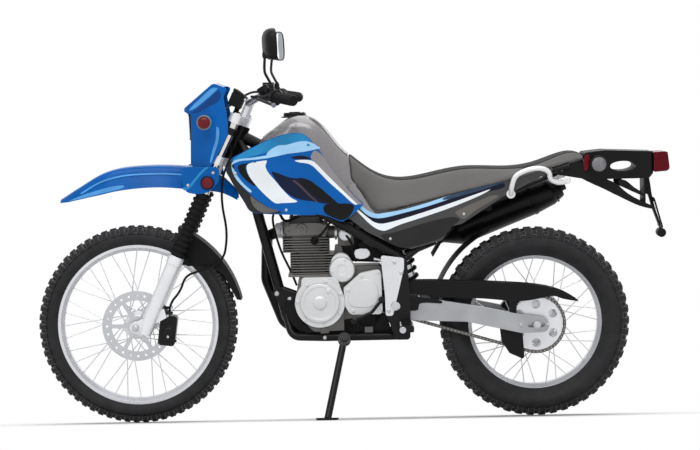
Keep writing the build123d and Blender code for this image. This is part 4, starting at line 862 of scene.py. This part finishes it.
# ---- shock absorber ----
SHOCK_LOW, SHOCK_HIGH = Vector((946, 0, 432)), Vector((880, 0, 690))
shock_way = (SHOCK_HIGH - SHOCK_LOW).normalized()
shock_u = shock_way.orthogonal().normalized()
shock_v = shock_way.cross(shock_u)
long = (SHOCK_HIGH - SHOCK_LOW).length
damper = Heap()
damper.lathe(SHOCK_LOW, shock_way, [(-14, 12), (-10, 17), (16, 17), (18, 36), (26, 37), (28, 24), (120, 24),
    (122, 10), (long - 62, 10), (long - 60, 24), (long - 44, 25), (long - 43, 37), (long - 34, 37),
    (long - 32, 22), (long - 10, 20), (long + 12, 16)], 28)
damper.lathe(SHOCK_LOW + Vector((0, -23, 0)), RIGHT, [(0, 10), (0.5, 15), (45.5, 15), (46, 10)], 24)
damper.lathe(SHOCK_HIGH + Vector((0, -24, 0)), RIGHT, [(0, 11), (0.5, 16), (47.5, 16), (48, 11)], 24)
damper.lathe(SHOCK_HIGH + Vector((34, -8, -16)), (0.5, 0, -1), [(0, 12), (3, 19), (74, 19), (78, 12)], 24)
damper.make("shock_body", "bare_alloy", "chassis")
coil = Heap()
TURNS, COIL_R, WIRE_R = 7.0, 30.0, 5.6
first, last = 32, long - 48
wire = []
for t in np.linspace(0, 1, 100):
    angle = 2 * pi * TURNS * t
    wire.append(SHOCK_LOW + shock_way * (first + (last - first) * t) + (shock_u * cos(angle)
        + shock_v * sin(angle)) * COIL_R)
coil.tube(wire, WIRE_R, 10, 1)
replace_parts(coil.make("shock_coil", "black_frame", "chassis"), "rear_shock")

# ---- dark fillers behind and under the engine, partly painted shade in the gaps between parts ----
under = Heap()
under.plate([(560, 334), (576, 300), (640, 284), (846, 284), (860, 330), (848, 372), (780, 366), (700, 352),
    (630, 348)], -58, 60, 4, 2)
under.plate([(500, 404), (530, 330), (566, 300), (586, 300), (560, 360), (540, 420)], -44, 44, 4, 2)
for x in (650, 700, 750, 800):
    under.plate([(x, 282), (x, 340), (x + 8, 340), (x + 8, 282)], -62, -56, 1)
under.plate([(816, 398), (812, 440), (870, 456), (888, 440), (888, 392), (850, 372)], -86, 86, 3, 2)
under.plate([(694, 704), (700, 742), (780, 744), (868, 734), (900, 700), (902, 596), (812, 600), (800, 664),
    (760, 690)], -30, 34, 3, 2)
under.plate([(700, 556), (698, 690), (770, 700), (860, 640), (902, 600), (902, 544), (742, 544)], -20, 24, 3, 2)
under.plate([(905, 392), (905, 434), (935, 433), (990, 424), (1036, 414), (1036, 404), (990, 408), (962, 404),
    (958, 384), (930, 382)], -113.5, -110.5, 1, 2)
under.make("engine_shadow_parts", "black_plastic", "chassis")

# ---- brake caliper, headlight, dials, muffler and footrests ----
caliper = Heap()
for x, z in ((98, 366), (107, 318)):
    caliper.lathe((x, -80, z), LEFT, [(0, 19), (3, 19), (5, 16), (5, 9), (3.5, 8), (3.5, 1)], 28)
for x, z in ((76, 388), (80, 340), (86, 292)):
    caliper.plate([(x, z), (x + 2, z + 8), (x + 50, z + 2), (x + 48, z - 6)], -84, -79, 1.2)
caliper.plate([(66, 380), (70, 398), (92, 402), (104, 392), (98, 372), (76, 368)], -78, -56, 2, 2)
caliper.tube([(82, -70, 396), (96, -74, 404), (112, -74, 404)], 5)
caliper.make("caliper_details", "black_frame", "fork")

flutes, bezel = Heap(), Heap()
for k in range(-6, 7):
    flutes.plate([(195, 978), (192.5, 1054), (200, 1054), (202, 978)], k * 8.8 - 3.4, k * 8.8 + 3.4, 1.6)
flutes.make("headlight_flutes", "lens_clear", "fork")
bezel.plate([(193, 1053), (193, 1060), (210, 1060), (210, 1053)], -64, 64, 1.5)
bezel.plate([(196, 972), (196, 979), (212, 979), (212, 972)], -64, 64, 1.5)
for hand in (-1, 1):
    bezel.plate([(198, 972), (195, 1060), (210, 1060), (212, 972)], hand * 59, hand * 66, 1.5)
bezel.make("headlight_bezel", "black_plastic", "fork")

TO_FORK = BIKE.inverted() @ FORK
CLAMP_TOP, DIAL_RISE = 773, 56    # along the fork
fork_up = (TO_FORK.to_3x3() @ Vector(UP)).normalized()
dial_way = fork_up + Vector((0.35, 0, 0))
dials, faces = Heap(), Heap()
for y, size in ((-24, 29), (30, 22)):
    place = TO_FORK @ Vector((-48, y, CLAMP_TOP + DIAL_RISE))
    dials.lathe(place, dial_way, [(0, size), (8, size + 3), (12, size + 3), (13, size + 1.5), (12, size - 1),
        (9, size - 2)], 32)
    faces.lathe(place, dial_way, [(7, size - 2), (10, size - 2), (11, size * 0.6), (11.3, 1)], 32)
dials.make("instrument_rims", "black_plastic", "fork")
faces.make("instrument_glass", "lens_smoke", "fork", slot="lens_clear")

MUFFLER_TILT = radians(21.6)
muffler_way = Vector((-cos(MUFFLER_TILT), 0, -sin(MUFFLER_TILT)))
MUFFLER_END = Vector((1472, 156, 777))
pipe = Heap()
pipe.lathe(MUFFLER_END, muffler_way, [(6, 17.5), (-14, 17.5), (-16, 16.5), (-16, 14), (-4, 13.5)], 28)
for start in (104, 372):
    pipe.lathe(MUFFLER_END, muffler_way, [(start, 57), (start + 0.8, 59.2), (start + 12, 59.2),
        (start + 12.8, 57)], 44)
for c, s in circle(8):
    around = Vector(RIGHT) * c + muffler_way.cross(Vector(RIGHT)) * s
    pipe.bolt(MUFFLER_END + muffler_way * 24 + around * 45, around - muffler_way * 0.4, 5, 3)
pipe.make("muffler_bands", "exhaust_black", "chassis")
shield = Heap()
shield.plate([(1080, 628), (1070, 650), (1250, 724), (1262, 704)], 211, 215, 1.2, 2)
for x, z in ((1092, 645), (1240, 706)):
    shield.bolt((x, 215, z), RIGHT, 7, 4)
shield.make("muffler_shield", "black_plastic", "chassis")

pegs = Heap()
for hand in (-1, 1):
    for k in range(9):
        y = hand * (140 + 9.8 * k)
        for x in (893, 933):
            pegs.plate([(x, 341), (x + 1, 349), (x + 5, 349), (x + 6, 341)], y - 2.4, y + 2.4, 0.8)
    pegs.lathe((902, hand * 130, 331), (0, hand, 0), [(0, 8), (1, 10), (12, 10), (13, 8)], 20)
    pegs.lathe((902, 0, 331), (0, hand, 0), [(228, 9), (229, 11), (226, 11)], 20)
for k in range(6):
    pegs.lathe((742, -134 - 6 * k, 356), LEFT, [(0, 5), (0.5, 6.2), (3.5, 6.2), (4, 5)], 16)
pegs.make("footrest_teeth", "steel", "chassis")

# ---- grab rails and the inner rear mudguard ----
RAIL = [(1278, 104, 768), (1280, 122, 796), (1293, 128, 830), (1325, 128, 848), (1363, 128, 856),
    (1393, 128, 851), (1407, 125, 838), (1412, 116, 818), (1438, 103, 806), (1462, 90, 808)]
rails, brackets = Heap(), Heap()
for hand in (-1, 1):
    rails.tube([(x, hand * y, z) for x, y, z in RAIL], 8.6, 14)
    rails.lathe((1278, hand * 100, 770), (0, hand, 0), [(0, 15), (7, 15), (8, 13)], 24)
    brackets.plate([(1262, 822), (1264, 764), (1272, 755), (1286, 756), (1294, 770), (1304, 824)], hand * 92,
        hand * 101, 1.5, 2)
    brackets.bolt((1278, hand * 101, 795), (0, hand, 0), 9, 5)
    rails.plate([(1440, 798), (1440, 816), (1478, 822), (1478, 802)], hand * 84, hand * 94, 2, 2)
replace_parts(rails.make("grab_rail_tubes", "rail_silver", "chassis"), "grab_rails")
brackets.make("grab_rail_brackets", "black_frame", "chassis")

flap = Heap()
FLAP_R, FLAP_HALF, FLAP_SHEET = REAR_R + 26, 58, 3
FLAP_YS = [FLAP_HALF * part for part in (-1, -0.5, 0, 0.5, 1)]
arc = []
for degrees in range(116, 179, 3):
    t = radians(degrees)
    ring = [(FLAP_R + 9 - 9 * abs(y) / FLAP_HALF, y) for y in FLAP_YS]
    ring += [(r + FLAP_SHEET, y) for r, y in reversed(ring)]
    arc.append([(WHEELBASE + r * cos(t), y, REAR_R + r * sin(t)) for r, y in ring])
flap.rings(arc)
flap.make("inner_mudguard", "black_plastic", "chassis")

# ---- painted highlights and painted shade on the mudguard and the visor ----
# x, z top, z low, half width above, half width below
GUARD_ROWS = [(-255, 772, 765, 17, 20), (-226, 791, 768, 34, 40), (-190, 813, 776, 46, 56),
    (-114, 857, 792, 56, 74), (-45, 878, 806, 60, 80), (37, 885, 814, 62, 82), (110, 885, 814, 61, 81),
    (188, 880, 806, 60, 76), (236, 876, 800, 48, 56), (300, 844, 790, 46, 52), (352, 790, 764, 42, 46)]


def guard_section(x, top, low, above, below, sheet):
    drop = min(14.0, (top - low) * 0.5)
    half = [(below, low), ((above + below) / 2, (low + top - drop) / 2), (above, top - drop),
        (above - 3, top - drop * 0.35), (above - 10, top), (above * 0.45, top + 2), (0, top + 3)]
    half = [(max(y - sheet, 0), z - (sheet if i else 0)) for i, (y, z) in enumerate(half)]
    return [(x, y, z) for y, z in half] + [(x, -y, z) for y, z in reversed(half[:-1])]


GUARD_SHEET = 3.4
mudguard = Heap()
mudguard.rings([guard_section(*row, 0) + guard_section(*row, GUARD_SHEET)[::-1]
    for row in smoothed(GUARD_ROWS, 5, closed=False)])
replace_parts(mudguard.make("mudguard_shell", "blue_plastic", "fork", sharp=50), "front_mudguard")


def guard_depth(x, z):
    xs = [row[0] for row in GUARD_ROWS]
    top, low, above, below = (float(np.interp(x, xs, [row[k] for row in GUARD_ROWS])) for k in (1, 2, 3, 4))
    return above + (below - above) * min(max((top - z) / (top - low), 0), 1) + 0.5


visor_depth = depth_along([(178, 60), (262, 116), (345, 118)], 0.5)
# name, look, depth, lift, outline
# the light blue pieces are painted highlights; the dark blue piece below the visor's highlight is painted shade
HIGHLIGHTS = [
    ("guard_light", "blue_light", guard_depth, 0.4, [
        (-222, 772), (-196, 784), (-156, 798), (-87, 817), (-36, 824), (-32, 816), (-60, 808), (-110, 797),
        (-160, 785), (-196, 777)]),
    ("guard_line", "blue_light", guard_depth, 0.4, [
        (-176, 802), (-120, 834), (-66, 852), (-4, 861), (92, 863), (166, 858), (166, 854), (92, 858),
        (-4, 856),
        (-62, 847), (-118, 829), (-172, 798)]),
    ("visor_light", "blue_light", visor_depth, 0.5, [
        (198, 1072), (206, 1085), (240, 1115), (275, 1144), (290, 1148), (296, 1142), (262, 1112),
            (222, 1082)]),
    ("visor_deep", "blue_shade", visor_depth, 0.5, [
        (206, 1064), (226, 1079), (262, 1106), (300, 1138), (308, 1118), (293, 1098), (262, 1084),
            (228, 1066)]),
    ("cowl_line", "blue_light", visor_depth, 0.5, [
        (291, 1016), (300, 1005), (296, 967), (284, 933), (272, 900), (266, 900), (276, 940), (287, 974)]),
]
for hand, word in HANDS:
    for name, look, depth, lift, outline in HIGHLIGHTS:
        draped(f"{name}_{word}", outline, depth, look, "fork", hand, lift)


# ---- the seat and the tank, smoothed and swollen from their solids ----
def share(value, start, span):
    """0 at the start and 1 a span further on."""
    return min(max((value - start) / span, 0), 1)


def soft_copy(node, name, look, rounds, swell, shift):
    """A node's solid as a smooth skin; shift(x, z) moves its points, in millimetres."""
    mesh = frame["nodes"][node].data.copy()
    obj = bpy.data.objects.new(name, mesh)
    bpy.context.collection.objects.link(obj)
    mesh.materials.clear()
    mesh.materials.append(mats[look])
    remesh = obj.modifiers.new("remesh", "REMESH")
    remesh.mode, remesh.voxel_size = "VOXEL", VOXEL
    soften = obj.modifiers.new("soften", "SMOOTH")
    soften.factor, soften.iterations = 0.5, rounds
    swelling = obj.modifiers.new("swell", "DISPLACE")
    swelling.strength, swelling.mid_level = swell, 0.0
    bpy.context.view_layer.update()
    graph = bpy.context.evaluated_depsgraph_get()
    made = bpy.data.meshes.new_from_object(obj.evaluated_get(graph))
    obj.modifiers.clear()
    obj.data = made
    back = BIKE.inverted()
    for vert in made.vertices:
        x, y, z = back @ vert.co
        dx, dz = shift(x, z)
        vert.co = BIKE @ Vector((x + dx, y, z + dz))
    made.shade_smooth()
    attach(obj, "chassis")
    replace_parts(obj, node)
    return obj


def seat_shift(x, z):
    high = share(z, np.interp(x, (1183, 1406, 1527), (815, 862, 886)), 20)
    return 0, -10 * share(x, 1120, 240) * high


def tank_shift(x, z):
    front = share(-x, -560, 90)
    return 25 * front * share(z, 968, 36), -3 * front * share(z, 1000, 30)


VOXEL = 0.005
soft_copy("seat", "seat_cushion", "seat_two_tone", 14, 0.0022, seat_shift)
soft_copy("fuel_tank", "tank_skin", "tank_two_tone", 5, 0.0006, tank_shift)

# ---- floor, light and camera ----
SHADOW_REACH, SHADOW_POWER, WORLD_LIGHT, WHITE = 0.45, 2.4, 0.55, (1, 1, 1, 1)
floor_mat = bpy.data.materials.new("floor")
floor_mat.use_nodes = True
ground = Nodes(floor_mat.node_tree)
ground.tree.nodes.clear()
shade = ground.add("ShaderNodeAmbientOcclusion", samples=12)
ground.put(SHADOW_REACH, shade.inputs["Distance"])
ground.put(WHITE, shade.inputs["Color"])
glow = ground.add("ShaderNodeEmission")
ground.put(ground.math("POWER", shade.outputs["AO"], SHADOW_POWER), glow.inputs["Color"])
dull = ground.add("ShaderNodeBsdfDiffuse")
ground.put((0.86, 0.86, 0.86, 1), dull.inputs["Color"])
join = ground.add("ShaderNodeMixShader")
for value, socket in zip((ground.camera_share(), dull.outputs[0], glow.outputs[0]), join.inputs):
    ground.put(value, socket)
ground.put(join.outputs[0], ground.add("ShaderNodeOutputMaterial").inputs["Surface"])
bpy.ops.mesh.primitive_plane_add(size=60, location=(0, 0, 0))
floor = bpy.context.object
floor.name = "floor"
floor.data.materials.append(floor_mat)

world = bpy.data.worlds.new("studio")
bpy.context.scene.world = world
world.use_nodes = True
sky = Nodes(world.node_tree)
background = sky.tree.nodes["Background"]
sky.put(sky.range(sky.camera_share(), 0, 1, WORLD_LIGHT, 1), background.inputs["Strength"])
sky.put(WHITE, background.inputs["Color"])


def lamp(name, place, target, size, power):
    data = bpy.data.lights.new(name, "AREA")
    data.shape, data.size, data.size_y, data.energy = "RECTANGLE", size[0], size[1], power
    obj = bpy.data.objects.new(name, data)
    bpy.context.collection.objects.link(obj)
    obj.location = place
    obj.rotation_mode = "QUATERNION"
    obj.rotation_quaternion = (Vector(target) - Vector(place)).to_track_quat("-Z", "Y")


# name, place, target, size, power
lamp("key", (-0.6, -3.2, 3.4), (0, 0, 0.6), (4.0, 2.0), 95)
lamp("top", (0.3, 0.2, 4.0), (0, 0.1, 0.5), (4.5, 2.4), 60)
lamp("fill", (2.6, 3.0, 2.4), (0, 0, 0.6), (2.5, 2.0), 45)

AIM_X, AIM_Z, DISTANCE, CAMERA_Z = 733, 668, 7.0, 0.1
VIEW_WIDTH, ROLL, SENSOR = 2.401, 1.04, 36
aim = BIKE @ Vector((AIM_X, 0, AIM_Z))
camera = bpy.data.objects.new("camera", bpy.data.cameras.new("camera"))
bpy.context.collection.objects.link(camera)
bpy.context.scene.camera = camera
camera.location = (aim.x, aim.y - DISTANCE, CAMERA_Z)
camera.rotation_mode = "QUATERNION"
look = aim - camera.location
roll = Matrix.Rotation(radians(ROLL), 4, look.normalized()).to_quaternion()
camera.rotation_quaternion = roll @ look.to_track_quat("-Z", "Y")
camera.data.sensor_width = SENSOR
camera.data.lens = SENSOR * look.length / VIEW_WIDTH
camera.data.clip_end = 100

bpy.context.scene.view_settings.view_transform = "Standard"
